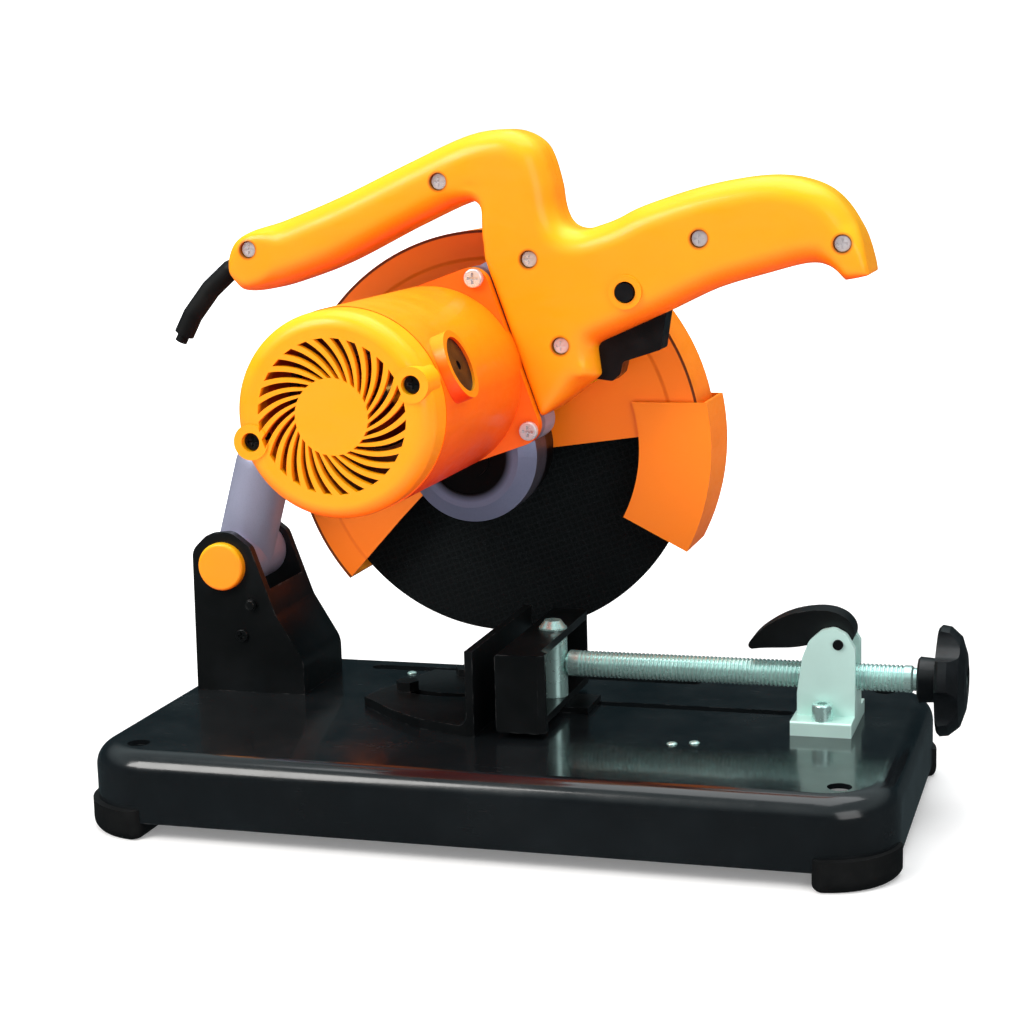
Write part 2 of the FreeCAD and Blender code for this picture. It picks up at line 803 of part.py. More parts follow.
@piece
def knob_nut():
    return cut(hexagon(6.9, 4.2, KNOB_X + 17.52, SCREW_Y, SCREW_Z, "x"),
               cylinder(4.02, 10, KNOB_X + 15, SCREW_Y, SCREW_Z, "x"))


@piece
def vise_bracket():
    low_y, high_y = -7, 41
    foot_top = TOP + dim.bracket_foot
    body = Body("ViceBracket")
    sketch = body.sketch("xy", TOP)
    rect(sketch, BRACKET_X, low_y, BRACKET_X + dim.bracket_len, high_y)
    body.pad(sketch, dim.bracket_foot)
    sketch = body.sketch("xz", 5)
    poly(sketch, BRACKET_SIDE)
    body.pad(sketch, 24)
    body.fillet(5, y_edge(lambda x, z: z > 82))
    # space for the half nut and the lever between the two cheeks
    sketch = body.sketch("xz", 9.5)
    rect(sketch, 128, 62, 168, 100)
    body.pocket(sketch, 15)
    sketch = body.sketch("yz", 130)
    circle(sketch, SCREW_Y, SCREW_Z, SCREW_R + 0.12)
    body.pocket(sketch, 45)
    sketch = body.sketch("xz", 0)
    circle(sketch, *LEVER_PIN, 2.5)
    body.pocket(sketch, 40)
    sketch = body.sketch("xy", 60)
    for x, y in VICE_BOLTS:
        circle(sketch, x, y, 3.2)
    body.pocket(sketch, 30, minus=True)
    body.fillet(1.2, lambda edge: in_plane("z", foot_top)(edge) and
                (in_plane("y", low_y, 1e-3)(edge) or in_plane("y", high_y, 1e-3)(edge)))
    return body.obj


@piece
def vise_bracket_bolts():
    return group(*[bolt(x, y, 48, 3, 13, 4.9, 8, drive="socket") for x, y in VICE_BOLTS])


@piece
def half_nut():
    return cut(box(13, 14.8, 7.4, 138.5, 9.6, 66.3),
               cylinder(SCREW_R + 0.06, 30, 132, SCREW_Y, SCREW_Z, "x"))


@piece
def quick_release_lever():
    body = Body("Lever")
    sketch = body.sketch("xz", 10.5)
    path(sketch, LEVER_SIDE)
    body.pad(sketch, 13)
    sketch = body.sketch("xz", 10)
    circle(sketch, *LEVER_PIN, 2.5 + dim.run_fit)
    body.pocket(sketch, 20)
    return body.obj


@piece
def lever_pin():
    return y_cyl(2.5, 26, 4, LEVER_PIN)


# ---------------------------------------------------------------------------
# Gear case with swing arm, and the bearing plate that closes its near side.
# ---------------------------------------------------------------------------
SPINDLE = (dim.spindle_x, dim.spindle_z)
MOTOR = (dim.motor_x, dim.motor_z)
SPINDLE_X, SPINDLE_Z = dim.spindle_x.value, dim.spindle_z.value
MOTOR_X, MOTOR_Z = dim.motor_x.value, dim.motor_z.value
FLANGE_TILT = -19.19            # of the square motor flange, about +Y


def flange_point(across, up):
    """Point in the tilted flange's own frame -> x, z."""
    cos = math.cos(math.radians(FLANGE_TILT))
    sin = math.sin(math.radians(FLANGE_TILT))
    return MOTOR_X + across * cos + up * sin, MOTOR_Z - across * sin + up * cos


def around_spindle(angle, radius):
    x, z = polar_point(angle, radius)
    return SPINDLE_X + x, SPINDLE_Z + z


FLANGE_SCREWS = [flange_point(39.5 * i, 39.5 * j)
                 for i, j in ((1, 1), (1, -1), (-1, 1), (-1, -1))]
HANDLE_SCREW_TOP, HANDLE_SCREW_LOW = (4, 265), (19, 223)    # through the tongue: x, z
CLAMP_ANGLES, CLAMP_R = (70, 150, 10), 29                   # guard clamp screws
ELBOW = (-151, 44, 157)

# upright tongue that the handle shells close over: x, z
TONGUE = [(-30, 215), (-24, 262), (0, 273), (9, 271), (24, 227), (22, 218), (4, 200), (-20, 195)]


def flange_block(y, length):
    """Square block with round corners, tilted about the motor axis."""
    body = Body("FlangeBlock")
    sketch = body.sketch("xz", 0)
    half = dim.flange_side / 2
    round_rect(sketch, -half, -half, half, half, 10)
    body.pad(sketch, length)
    body.obj.Placement = FreeCAD.Placement(V(MOTOR_X, y, MOTOR_Z),
                                           FreeCAD.Rotation(V(0, 1, 0), FLANGE_TILT))
    return body.obj


def flange_holes(r, length, y):
    return [y_cyl(r, length, y, screw) for screw in FLANGE_SCREWS]


@piece
def gear_case_arm():
    """One casting: gear case, handle tongue and the arm back to the pivot."""
    tongue = Body("Tongue")
    sketch = tongue.sketch("xz", 31)
    poly(sketch, TONGUE)
    tongue.pad(sketch, 14)
    case = fuse(flange_block(26, 18), y_cyl(34, 18, 26, SPINDLE), y_cyl(32.5, 18, 44, SPINDLE),
                tongue.obj, y_cyl(15, 43.4, 22.3, PIVOT),
                rod((dim.pivot_x.value, 44, dim.pivot_z.value), ELBOW, 15),
                ball(ELBOW, 15), rod(ELBOW, (-84, 41, 190), 13.5))
    return cut(case,
               # gear chamber, then the pivot bore
               y_cyl(31.6, 15.5, 25, SPINDLE), y_cyl(15.5, 15.5, 25, MOTOR),
               y_cyl(dim.pivot_pin_r + dim.run_fit, 60, 15, PIVOT),
               # bearing seat, far recess and spindle bore
               y_cyl(16, 10.01, 40, SPINDLE), y_cyl(22, 6.2, 57, SPINDLE),
               y_cyl(11.5, 30, 40, SPINDLE),
               *flange_holes(2.5, 14, 25),
               y_cyl(2.1, 30, 25, HANDLE_SCREW_TOP), y_cyl(2.1, 30, 25, HANDLE_SCREW_LOW),
               *[y_cyl(2.05, 9, 54, around_spindle(angle, CLAMP_R)) for angle in CLAMP_ANGLES])


@piece
def bearing_plate():
    plate = fuse(flange_block(20.02, 5.96), y_cone(26, 34, 5.96, 20.02, SPINDLE))
    ring_groove = cut(y_cyl(19.5, 2.5, 18.5, SPINDLE), y_cyl(11, 4, 18, SPINDLE))
    return cut(plate, y_cyl(11.02, 7.01, 14, MOTOR), y_cyl(5.2, 20, 14, MOTOR),
               y_cyl(9.02, 5.01, 22, SPINDLE), ring_groove, *flange_holes(2.6, 14, 15))


# ---------------------------------------------------------------------------
# Motor housing, brushes and end cap
# ---------------------------------------------------------------------------
BRUSH_Y = -82
BRUSH_ANGLES = (22, 202)
LUGS = [polar_point(angle, 40.0) for angle in (21, 197)]    # from the motor axis
CAP_LEN = dim.tube_end_y - dim.cap_end_y


def brush_rod(start_r, end_r, r, angle):
    """Rod pointing out from the motor axis, between two distances from it."""
    ends = [polar_point(angle, distance) for distance in (start_r, end_r)]
    return rod(*[(MOTOR_X + x, BRUSH_Y, MOTOR_Z + z) for x, z in ends], r)


def brush_rods(start_r, end_r, r):
    return [brush_rod(start_r, end_r, r, angle) for angle in BRUSH_ANGLES]


@piece
def motor_housing():
    tube = Body("MotorTube")
    tube.pad(tube.discs(dim.tube_end_y, MOTOR, (0, 0, dim.motor_r)),
             dim.flange_y - dim.tube_end_y - 0.02)
    shell = fuse(tube.obj, flange_block(14, 5.98), *brush_rods(36, 51.5, 16))
    return cut(shell, y_cyl(dim.motor_r - dim.motor_wall, 140, -101, MOTOR),
               *brush_rods(46.5, 60, 12.9), *brush_rods(20, 60, 7.6),
               *flange_holes(2.6, 20, 10))


@piece
def flange_screws():
    return group(*[bolt(x, 13.98, z, 2.5, 22, 4.6, 3.2, axis="y", drive="cross", flip=True)
                   for x, z in FLANGE_SCREWS])


@piece
def brush_caps():
    return group(*[cut(brush_rod(46.6, 50.2, 12.7, angle), brush_rod(49.2, 51, 2.2, angle))
                   for angle in BRUSH_ANGLES])


@piece
def brush_holders():
    return group(*[cut(brush_rod(17, 46.5, 7.5, angle), brush_rod(10, 50, 4.6, angle))
                   for angle in BRUSH_ANGLES])


@piece
def carbon_brushes():
    return group(*brush_rods(11.6, 26, 4.5))


def swirl_side(offset):
    """One side of a curved vent slot: its angle grows with the radius."""
    return [polar_point(offset + 34 * ((r - 17.0) / 17.5) ** 0.8, r)
            for r in (17.0, 20.0, 24.0, 28.0, 31.5, 34.5)]


@piece
def motor_end_cap():
    """Cup open towards +Y, with two screw lugs, a bearing seat and a ring of vents."""
    end = dim.cap_end_y
    body = Body("MotorEndCap")
    body.pad(body.discs(end, MOTOR, (0, 0, dim.motor_r - 0.4)), CAP_LEN)
    body.fillet(8, in_plane("y", end))
    body.pad(body.discs(end - 0.8, MOTOR, *[(*lug, 8) for lug in LUGS]), CAP_LEN - 3)
    body.pocket(body.discs(dim.tube_end_y, MOTOR, (0, 0, dim.motor_r - dim.motor_wall - 5)),
                CAP_LEN - 3.4, minus=True)
    body.pad(body.discs(end + 3, MOTOR, (0, 0, 14)), 10)
    body.pocket(body.discs(end + 13, MOTOR, (0, 0, 11.02)), 8, minus=True)
    body.pocket(body.discs(end - 2, MOTOR, *[(*lug, 4.3) for lug in LUGS]), 6)
    body.pocket(body.discs(end - 2, MOTOR, *[(*lug, 2.1) for lug in LUGS]), 40)
    sketch = body.sketch("xz", end - 2, *MOTOR)
    path(sketch, band(swirl_side(-3.6), swirl_side(3.6)[::-1]))
    body.polar(body.pocket(sketch, 9), sketch, 28)
    return body.obj


@piece
def end_cap_screws():
    seat = dim.cap_end_y.value + 4
    return group(*[bolt(MOTOR_X + x, seat, MOTOR_Z + z, 2, 14.5, 3.9, 2, axis="y",
                        drive="cross", flip=True) for x, z in LUGS])


# ---------------------------------------------------------------------------
# Motor internals
# ---------------------------------------------------------------------------
CORE_Y, CORE_LEN = -62, 46      # stator and armature stacks
SHAFT_R = 4


@piece
def stator_core():
    return cut(y_cyl(43.4, CORE_LEN, CORE_Y, MOTOR), y_cyl(22.2, 50, -64, MOTOR),
               box(78, 50, 26.4, dim.motor_x - 39, -64, dim.motor_z - 13.2))


@piece
def field_windings():
    coils = []
    for offset in (-38.3, 29.3):
        ring = cut(y_cyl(36, 58, -68, MOTOR), y_cyl(29.2, 60, -69, MOTOR))
        coils.append(common(ring, box(9, 60, 25.6, dim.motor_x + offset, -69,
                                      dim.motor_z - 12.8)))
    return group(*coils)


@piece
def armature_core():
    body = Body("ArmatureCore")
    body.pad(body.discs(CORE_Y, MOTOR, (0, 0, 21.4), (0, 0, SHAFT_R)), CORE_LEN)
    sketch = body.sketch("xz", CORE_Y - 1, *MOTOR)
    rect(sketch, 14.5, -1.6, 23, 1.6)
    body.polar(body.pocket(sketch, 50), sketch, 12)
    return body.obj


@piece
def armature_windings():
    return cut(fuse(y_cone(13, 19, 7, -69.01, MOTOR), y_cone(19, 13, 7, -15.99, MOTOR)),
               y_cyl(SHAFT_R, 70, -75, MOTOR))


@piece
def commutator():
    slots = []
    for angle in range(0, 360, 30):
        x, z = polar_point(angle, 10.8)
        slots.append(box(1.2, 20, 1, dim.motor_x + x - 0.6, -93, dim.motor_z + z - 0.5))
    return cut(y_cyl(11.5, 18, -91, MOTOR), y_cyl(SHAFT_R, 30, -95, MOTOR), *slots)


@piece
def cooling_fan():
    body = Body("Fan")
    body.pad(body.discs(0, MOTOR, (0, 0, 39)), 2)
    body.pad(body.discs(-8, MOTOR, (0, 0, 9)), 8)
    sketch = body.sketch("xz", -7, *MOTOR)
    poly(sketch, [(16, 0), (38, 6), (37.4, 8), (15.4, 1.6)])
    body.polar(body.pad(sketch, 8), sketch, 10)
    body.pocket(body.discs(-9, MOTOR, (0, 0, SHAFT_R)), 20)
    return body.obj


def bearing(outer_r, inner_r, width, y, centre):
    """Outer and inner rings joined by a shield set back 0.6 at each face."""
    wall = 0.22 * (outer_r - inner_r)

    def ring(outside, inside, length, start):
        return cut(y_cyl(outside, length, start, centre),
                   y_cyl(inside, width + 2, y - 1, centre))

    return fuse(ring(outer_r, outer_r - wall, width, y),
                ring(inner_r + wall, inner_r, width, y),
                ring(outer_r - wall, inner_r + wall, width - 1.2, y + 0.6))


@piece
def armature_bearings():
    return group(bearing(11, 4, 7, -114.5, MOTOR), bearing(11, 5, 5.5, 15.4, MOTOR))


@piece
def spindle_bearings():
    return group(bearing(9, 5, 4.9, 22.05, SPINDLE), bearing(16, 7.5, 9, 40.9, SPINDLE))


# ---------------------------------------------------------------------------
# Gears, shafts and wheel. The two gears run on 42 mm centres.
# ---------------------------------------------------------------------------
MODULE = dim.gear_module.value
DEDENDUM = 1.25                 # in modules
TOOTH_THINNING = 0.13           # backlash taken off each tooth
MESH_ANGLE = math.degrees(math.atan2(MOTOR_Z - SPINDLE_Z, MOTOR_X - SPINDLE_X))
WHEEL_NEAR = dim.wheel_y - dim.wheel_thick / 2
WHEEL_FAR = dim.wheel_y + dim.wheel_thick / 2
FLANGE_R, SPINDLE_NOSE_R = 27, 8


def involute(angle):
    return math.tan(angle) - angle


def tooth(teeth, addendum, angle, waist):
    """Outline of one 20 degree involute tooth centred on angle; waist scales its
    root width against its width at the base circle."""
    pitch_r = teeth * MODULE / 2
    base_r = pitch_r * math.cos(math.radians(20))
    root_r = pitch_r - DEDENDUM * MODULE
    low_r, high_r = root_r - 0.35, pitch_r + addendum
    half = ((math.pi * MODULE / 2 - TOOTH_THINNING) / 2 / pitch_r
            + involute(math.radians(20)))

    def half_angle(r):
        if r <= base_r:
            return half * (waist + (1 - waist) * (r - root_r) / (base_r - root_r))
        return half - involute(math.acos(base_r / r))

    radii = [low_r, base_r] + [base_r + (high_r - base_r) * k / 4 for k in range(1, 5)]
    centre = math.radians(angle)
    flank = [(r, half_angle(r)) for r in radii]
    return ([(r * math.cos(centre - a), r * math.sin(centre - a)) for r, a in flank]
            + [(r * math.cos(centre + a), r * math.sin(centre + a)) for r, a in flank[::-1]])


def gear(name, teeth, addendum, y, width, centre, angle, waist):
    body = Body(name)
    root_r = teeth * dim.gear_module / 2 - DEDENDUM * dim.gear_module
    body.pad(body.discs(y, centre, (0, 0, root_r)), width)
    sketch = body.sketch("xz", y, *centre)
    poly(sketch, tooth(teeth, addendum, angle, waist))
    body.polar(body.pad(sketch, width), sketch, teeth)
    return body


def add_steps(body, centre, steps):
    """Pad coaxial steps: y, length, radius."""
    for y, length, r in steps:
        body.pad(body.discs(y, centre, (0, 0, r)), length)


@piece
def drive_gear():
    body = gear("DriveGear", DIMS["gear_teeth"], 1.25, 28, 11, SPINDLE, MESH_ANGLE, 1.0)
    body.pocket(body.discs(27, SPINDLE, (0, 0, 7.4)), 13)
    holes = [(*polar_point(60 * i, 20.5), 4.5) for i in range(6)]
    body.pocket(body.discs(27, SPINDLE, *holes), 14)
    return body.obj


@piece
def armature_shaft():
    """Pinion and shaft in one; half a tooth of turn meshes it with the drive gear."""
    teeth = DIMS["pinion_teeth"]
    body = gear("ArmatureShaft", teeth, 1.3, 27.5, 12.5, MOTOR,
                MESH_ANGLE + 180 + 180.0 / teeth, 0.55)
    add_steps(body, MOTOR, ((-114.6, 130, SHAFT_R), (15.4, 12.6, 5)))
    return body.obj


@piece
def spindle():
    body = Body("Spindle")
    add_steps(body, SPINDLE, ((22.1, 5.1, 5), (27.2, 13.7, 7.4), (40.9, 9, 7.5),
                              (49.9, 22.1, 10), (72, 12, SPINDLE_NOSE_R)))
    body.pocket(body.discs(64, SPINDLE, (0, 0, 4)), 30)
    return body.obj


@piece
def inner_flange():
    flange = fuse(y_cyl(FLANGE_R, WHEEL_NEAR - 72, 72, SPINDLE),
                  y_cyl(dim.bore_r - 0.06, dim.wheel_thick, WHEEL_NEAR, SPINDLE))
    return cut(flange, y_cyl(SPINDLE_NOSE_R, 20, 70, SPINDLE))


@piece
def outer_flange():
    flange = y_cyl(FLANGE_R, 4.8, WHEEL_FAR, SPINDLE)
    flange = round_edges(flange, 1.5, in_plane("y", WHEEL_FAR + 4.8, 1e-3))
    return cut(flange, y_cyl(SPINDLE_NOSE_R, 20, 75, SPINDLE))


@piece
def wheel_bolt():
    return fuse(hexagon(7.5, 5.3, dim.spindle_x, 87.6, dim.spindle_z, "y"),
                y_cyl(10.5, 1.6, 86, SPINDLE), y_cyl(4, 22, 66, SPINDLE))


@piece
def abrasive_wheel():
    body = Body("Wheel")
    body.pad(body.discs(WHEEL_NEAR, SPINDLE, (0, 0, dim.wheel_r), (0, 0, dim.bore_r)),
             dim.wheel_thick)
    return body.obj


# ---------------------------------------------------------------------------
# Guards
# ---------------------------------------------------------------------------
GUARD_R, SPARK_R = dim.guard_r.value, dim.spark_r.value
GUARD_ANGLES = (4.9, 222.0)
SPARK_ANGLES = (-27.5, 17.3)
COVER_SCREW_ANGLES, COVER_SCREW_R = (88, 150, 208), GUARD_R - 5.2


def spindle_arc(sketch, r, angles):
    arc(sketch, 0, 0, r, *[math.radians(angle) for angle in angles])


def guard_outline(sketch):
    """Guard side: an arc closed below by a chain of straight edges."""
    start, end = [polar_point(angle, GUARD_R) for angle in GUARD_ANGLES]
    index = sketch.GeometryCount
    spindle_arc(sketch, GUARD_R, GUARD_ANGLES)
    chain = [end, (-52, -41), (-24, -12), (0, -5.5), start]
    for first, second in zip(chain[:-1], chain[1:]):
        line(sketch, first, second)
    hold(sketch, dim.guard_r, "Radius", index)
    pin_point(sketch, index, 3, 0, 0)


def sector(sketch, inner_r, outer_r, angles):
    """Part of a ring between two angles."""
    spindle_arc(sketch, outer_r, angles)
    spindle_arc(sketch, inner_r, angles)
    for angle in angles:
        line(sketch, polar_point(angle, inner_r), polar_point(angle, outer_r))


def cover_discs(body, y, r):
    """Sketch of a circle at each cover screw."""
    return body.discs(y, SPINDLE, *[(*polar_point(angle, COVER_SCREW_R), r)
                                    for angle in COVER_SCREW_ANGLES])


@piece
def wheel_guard():
    near, far, thick = dim.guard_near, dim.guard_far, dim.guard_thick
    body = Body("Guard")
    sketch = body.sketch("xz", near, *SPINDLE)
    guard_outline(sketch)
    body.pad(sketch, thick)
    body.pad(body.discs(near, SPINDLE, (0, 0, 31)), thick)
    sketch = body.sketch("xz", near, *SPINDLE)
    sector(sketch, GUARD_R - 1.8, GUARD_R, GUARD_ANGLES)
    body.pad(sketch, far - near - thick)
    body.pad(cover_discs(body, far - 12, 4), 12 - thick)
    body.pocket(cover_discs(body, far - 14, 1.6), 20)
    clamp_holes = [(*polar_point(angle, CLAMP_R), 2.3) for angle in CLAMP_ANGLES]
    body.pocket(body.discs(near - 1, SPINDLE, (0, 0, 12), *clamp_holes), 4)
    return body.obj


@piece
def guard_side_cover():
    body = Body("GuardCover")
    sketch = body.sketch("xz", dim.guard_far - dim.guard_thick, *SPINDLE)
    guard_outline(sketch)
    body.pad(sketch, dim.guard_thick)
    body.pocket(cover_discs(body, dim.guard_far - 5, 2), 10)
    return body.obj


def guard_screw(angle, radius, y, *sizes):
    x, z = around_spindle(angle, radius)
    return bolt(x, y, z, *sizes, axis="y", drive="cross")


@piece
def guard_cover_screws():
    return group(*[guard_screw(angle, COVER_SCREW_R, 98, 1.6, 9, 3.6, 2)
                   for angle in COVER_SCREW_ANGLES])


@piece
def guard_clamp_screws():
    return group(*[guard_screw(angle, CLAMP_R, 63.6, 2.05, 9, 4, 2.4)
                   for angle in CLAMP_ANGLES])


@piece
def spark_guard():
    """Two side plates and a rim outside the wheel guard, with a small inner rib."""
    inner_r = dim.spark_inner_r.value
    body = Body("SparkGuard")
    for y, length, low_r, high_r, angles in (
            (59.6, 1.6, inner_r, SPARK_R, SPARK_ANGLES),
            (100.6, 1.6, inner_r, SPARK_R, SPARK_ANGLES),
            (59.6, 42.6, SPARK_R - 1.6, SPARK_R, SPARK_ANGLES),
            (70, 20, GUARD_R + 0.3, SPARK_R - 1, (6.5, 9.5))):
        sketch = body.sketch("xz", y, *SPINDLE)
        sector(sketch, low_r, high_r, angles)
        body.pad(sketch, length)
    sketch = body.sketch("xz", 50, *SPINDLE)
    rect(sketch, 60, 22.9, 130, 60)
    body.pocket(sketch, 70)
    return body.obj


# ---------------------------------------------------------------------------
# Two-shell handle: rear carrying arch, neck, front grip; six screws.
# All outlines are x, z.
# ---------------------------------------------------------------------------
TOP_LINE = [
    (-153.5, 260), (-153.2, 267), (-149.5, 273.5), (-141, 278.7), (-126, 283.5),
    (-95.5, 295), (-60, 311), (-31, 323), (-14, 326.3), (-3, 325), (8, 317.5),
    (15, 302), (18.5, 287), (24, 277.5), (34, 277.5), (46, 282.5), (59.5, 289),
    (90, 297.5), (118, 301.5), (136, 299), (150, 291.5), (160, 277), (167, 257),
]
GRIP_UNDER = [(156, 255.5), (150, 260.5), (139, 262.5), (118, 257.5), (94, 250.5), (70, 239.5)]
ARCH_UNDER = [(-18.5, 283), (-21, 291.5), (-30, 293.5), (-60, 281),
              (-97, 263.5), (-126, 253.2), (-140, 250.5), (-147, 249.8)]
NECK = [(34, 224), (35.5, 208.5), (9.5, 190), (-16.5, 266)]
NECK_CHAIN = [GRIP_UNDER[-1], *NECK, ARCH_UNDER[0]]
HANDLE_OUTLINE = [
    TOP_LINE, [TOP_LINE[-1], GRIP_UNDER[0]], GRIP_UNDER,
    *[[start, end] for start, end in zip(NECK_CHAIN[:-1], NECK_CHAIN[1:])],
    ARCH_UNDER, [ARCH_UNDER[-1], TOP_LINE[0]],
]
CAVITY = [
    (-148.5, 261), (-147.5, 268), (-140, 273.5), (-126, 278), (-94, 288.5), (-58, 304),
    (-30, 316), (-10, 319.5), (4, 311), (11, 290), (18, 271), (36, 271), (62, 282),
    (92, 291), (118, 295), (137, 291), (149, 283), (157, 264), (148, 267.5),
    (136, 268.5), (116, 263.5), (92, 256.5), (66, 246), (29, 230), (29, 213),
    (13, 200), (-10, 266), (-12, 287), (-18, 299), (-32, 300.5), (-62, 288),
    (-98, 270), (-131, 259), (-144.5, 256),
]
TONGUE_SPACE = [(-30, 214), (-22, 262), (-14, 275), (9.6, 275), (13, 270),
                (27, 226), (25, 214.5), (8, 197), (2, 190)]
TRIGGER_SPACE = [(25, 212), (32, 202), (38, 200), (75, 214), (79, 244), (70, 254), (25, 238)]
TRIGGER_SIDE = [(27, 215), (34, 205.5), (41.5, 204.5), (45.5, 208), (47, 214),
                (66, 220), (69, 239), (60, 235.5), (36, 224.5), (27, 225)]
HANDLE_SCREWS = [(-143, 271), (-41, 303), HANDLE_SCREW_TOP, (88, 274), (155.5, 271),
                 HANDLE_SCREW_LOW]
TRIGGER_PIN = (30.8, 219.5)
LOCK_BUTTON = (52, 249)


def cord_point(x, z):
    """Point in the handle's split plane."""
    return x, dim.hand_mid.value, z


# bends of the cord and its guard, from the handle down to the rear
CORD_BENDS = [cord_point(-162, 259.5), cord_point(-173.5, 249.8),
              cord_point(-184.5, 236.4), cord_point(-189.9, 226.5)]


def far_shell(name):
    """Far half of the handle, hollow towards the split plane."""
    middle = dim.hand_mid
    half_width = dim.hand_far - middle
    depth = half_width - 3
    split = (0, 0)
    body = Body(name)
    sketch = body.sketch("xz", middle)
    path(sketch, HANDLE_OUTLINE)
    body.pad(sketch, half_width)
    on_far_face = in_plane("y", dim.hand_far, 1e-3)
    body.fillet(5.5, lambda edge: on_far_face(edge) and edge.BoundBox.DiagonalLength > 1)
    sketch = body.sketch("xz", middle)
    poly(sketch, CAVITY)
    body.pocket(sketch, depth)
    body.pad(body.discs(middle, split, *[(x, z, 4.6) for x, z in HANDLE_SCREWS]), depth + 1)
    for space in (TONGUE_SPACE, TRIGGER_SPACE):
        sketch = body.sketch("xz", middle)
        poly(sketch, space)
        body.pocket(sketch, 7.3)
    body.pocket(body.discs(middle, split, *[(x, z, 2.02) for x, z in HANDLE_SCREWS]), 15)
    body.pocket(body.discs(middle, split, (*TRIGGER_PIN, 2.02)), 12)
    return body.obj


def cord_bore():
    return rod(cord_point(-149.6, 264.2), CORD_BENDS[0], 5.25)


@piece
def handle_shell_near():
    """Mirror of the far half, with a button collar and sunk screw holes."""
    flipped = mirror(far_shell("HandleNear"), 0, 1, 0)
    flipped.Base = V(0, dim.hand_mid.value, 0)
    flipped.setExpression(".Base.y", dim.hand_mid.formula)
    half = cut(fuse(flipped, y_cyl(8, 5, 16.2, LOCK_BUTTON)), y_cyl(4.6, 14, 14, LOCK_BUTTON),
               *[y_cyl(4.2, 4, 17, screw) for screw in HANDLE_SCREWS],
               *[y_cyl(2.1, 30, 15, screw) for screw in HANDLE_SCREWS])
    return cut(half, cord_bore())


@piece
def handle_shell_far():
    return cut(far_shell("HandleFar"), cord_bore())


@piece
def handle_screws():
    return group(*[bolt(x, 21.0, z, 2, 30, 3.9, 1.6, axis="y", drive="cross", flip=True)
                   for x, z in HANDLE_SCREWS])


@piece
def trigger():
    body = Body("Trigger")
    sketch = body.sketch("xz", 31)
    poly(sketch, TRIGGER_SIDE)
    body.pad(sketch, 14)
    body.fillet(1.5, y_edge(lambda x, z: x > 41 and z < 233))
    return fuse(body.obj, y_cyl(1.95, 20, 28, TRIGGER_PIN))


@piece
def lock_on_button():
    return fuse(y_cyl(4.5, 8, 14.6, LOCK_BUTTON), y_cyl(6.4, 1.6, 22.6, LOCK_BUTTON))


@piece
def switch_module():
    return cut(box(34, 13.6, 14, 40, 31.2, 250.5), y_cyl(5, 20, 30, (88, 274)))


@piece
def cord_guard():
    outer = bent_bar([cord_point(-150, 264), *CORD_BENDS], 5.2)
    core = bent_bar([cord_point(-145, 265.9), *CORD_BENDS, cord_point(-195.1, 217)], 3.2)
    return cut(outer, core)


@piece
def power_cable():
    return bent_bar([cord_point(-151, 263.6), *CORD_BENDS, cord_point(-192, 222.6)], 3.15)


# ---------------------------------------------------------------------------
# Checks and export
# ---------------------------------------------------------------------------
doc.recompute()
for obj in doc.Objects:
    if "Invalid" in obj.State or "Error" in obj.State:
        raise RuntimeError("%s (%s) is in state %s" % (obj.Name, obj.TypeId, obj.State))
for name, obj in PIECES.items():
    if obj.Shape.isNull() or not obj.Shape.isValid():
        raise RuntimeError(name + " has no valid shape")
    if not obj.Shape.Solids:
        raise RuntimeError(name + " has no solid")
for name, obj in sorted(PIECES.items()):
    obj.Shape.exportStep(os.path.join("parts", name + ".step"))
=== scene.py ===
# Small cut-off machine: an abrasive wheel under an orange guard, above a black base plate.
# The base lies level, X runs along the machine and +Z is up.  The spindle runs along Y.
# The camera looks from the -Y side, which is the "near" side in names below.
# The CAD pieces get materials, the handle halves are remodelled, and rivets are added.
import json
import math
import bpy
import bmesh
import numpy as np
from mathutils import Vector, Matrix


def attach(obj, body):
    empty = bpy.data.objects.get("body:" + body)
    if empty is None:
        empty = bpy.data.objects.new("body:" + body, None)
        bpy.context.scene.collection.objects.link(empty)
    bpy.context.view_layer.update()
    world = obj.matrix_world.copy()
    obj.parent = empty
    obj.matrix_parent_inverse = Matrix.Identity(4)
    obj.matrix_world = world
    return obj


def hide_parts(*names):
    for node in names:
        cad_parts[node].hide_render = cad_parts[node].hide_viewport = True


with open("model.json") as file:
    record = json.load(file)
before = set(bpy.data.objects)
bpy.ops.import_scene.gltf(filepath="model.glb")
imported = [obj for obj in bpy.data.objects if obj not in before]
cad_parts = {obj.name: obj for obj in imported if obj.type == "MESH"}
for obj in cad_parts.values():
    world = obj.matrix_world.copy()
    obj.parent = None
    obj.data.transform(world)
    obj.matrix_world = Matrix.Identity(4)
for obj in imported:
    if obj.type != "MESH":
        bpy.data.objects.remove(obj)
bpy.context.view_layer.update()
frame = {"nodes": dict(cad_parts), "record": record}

MM = 0.001

SPINDLE = (-0.0305, 0.1675)  # X, Z of the wheel axis, metres

# X, Z in millimetres of the six screw heads on the near half of the handle
HANDLE_SCREWS = [(-143, 271), (-41, 303), (4, 265), (88, 274), (155.5, 271), (19, 223)]


# ---------------------------------------------------------------------------
# Node graph helpers
# ---------------------------------------------------------------------------
# The Mix and Map Range nodes repeat socket names per data type, so they are picked by index.
MIX_FACTOR, MIX_A, MIX_B, MIX_RESULT = 0, 6, 7, 2
FROM_MIN, FROM_MAX, TO_MIN, TO_MAX = 1, 2, 3, 4


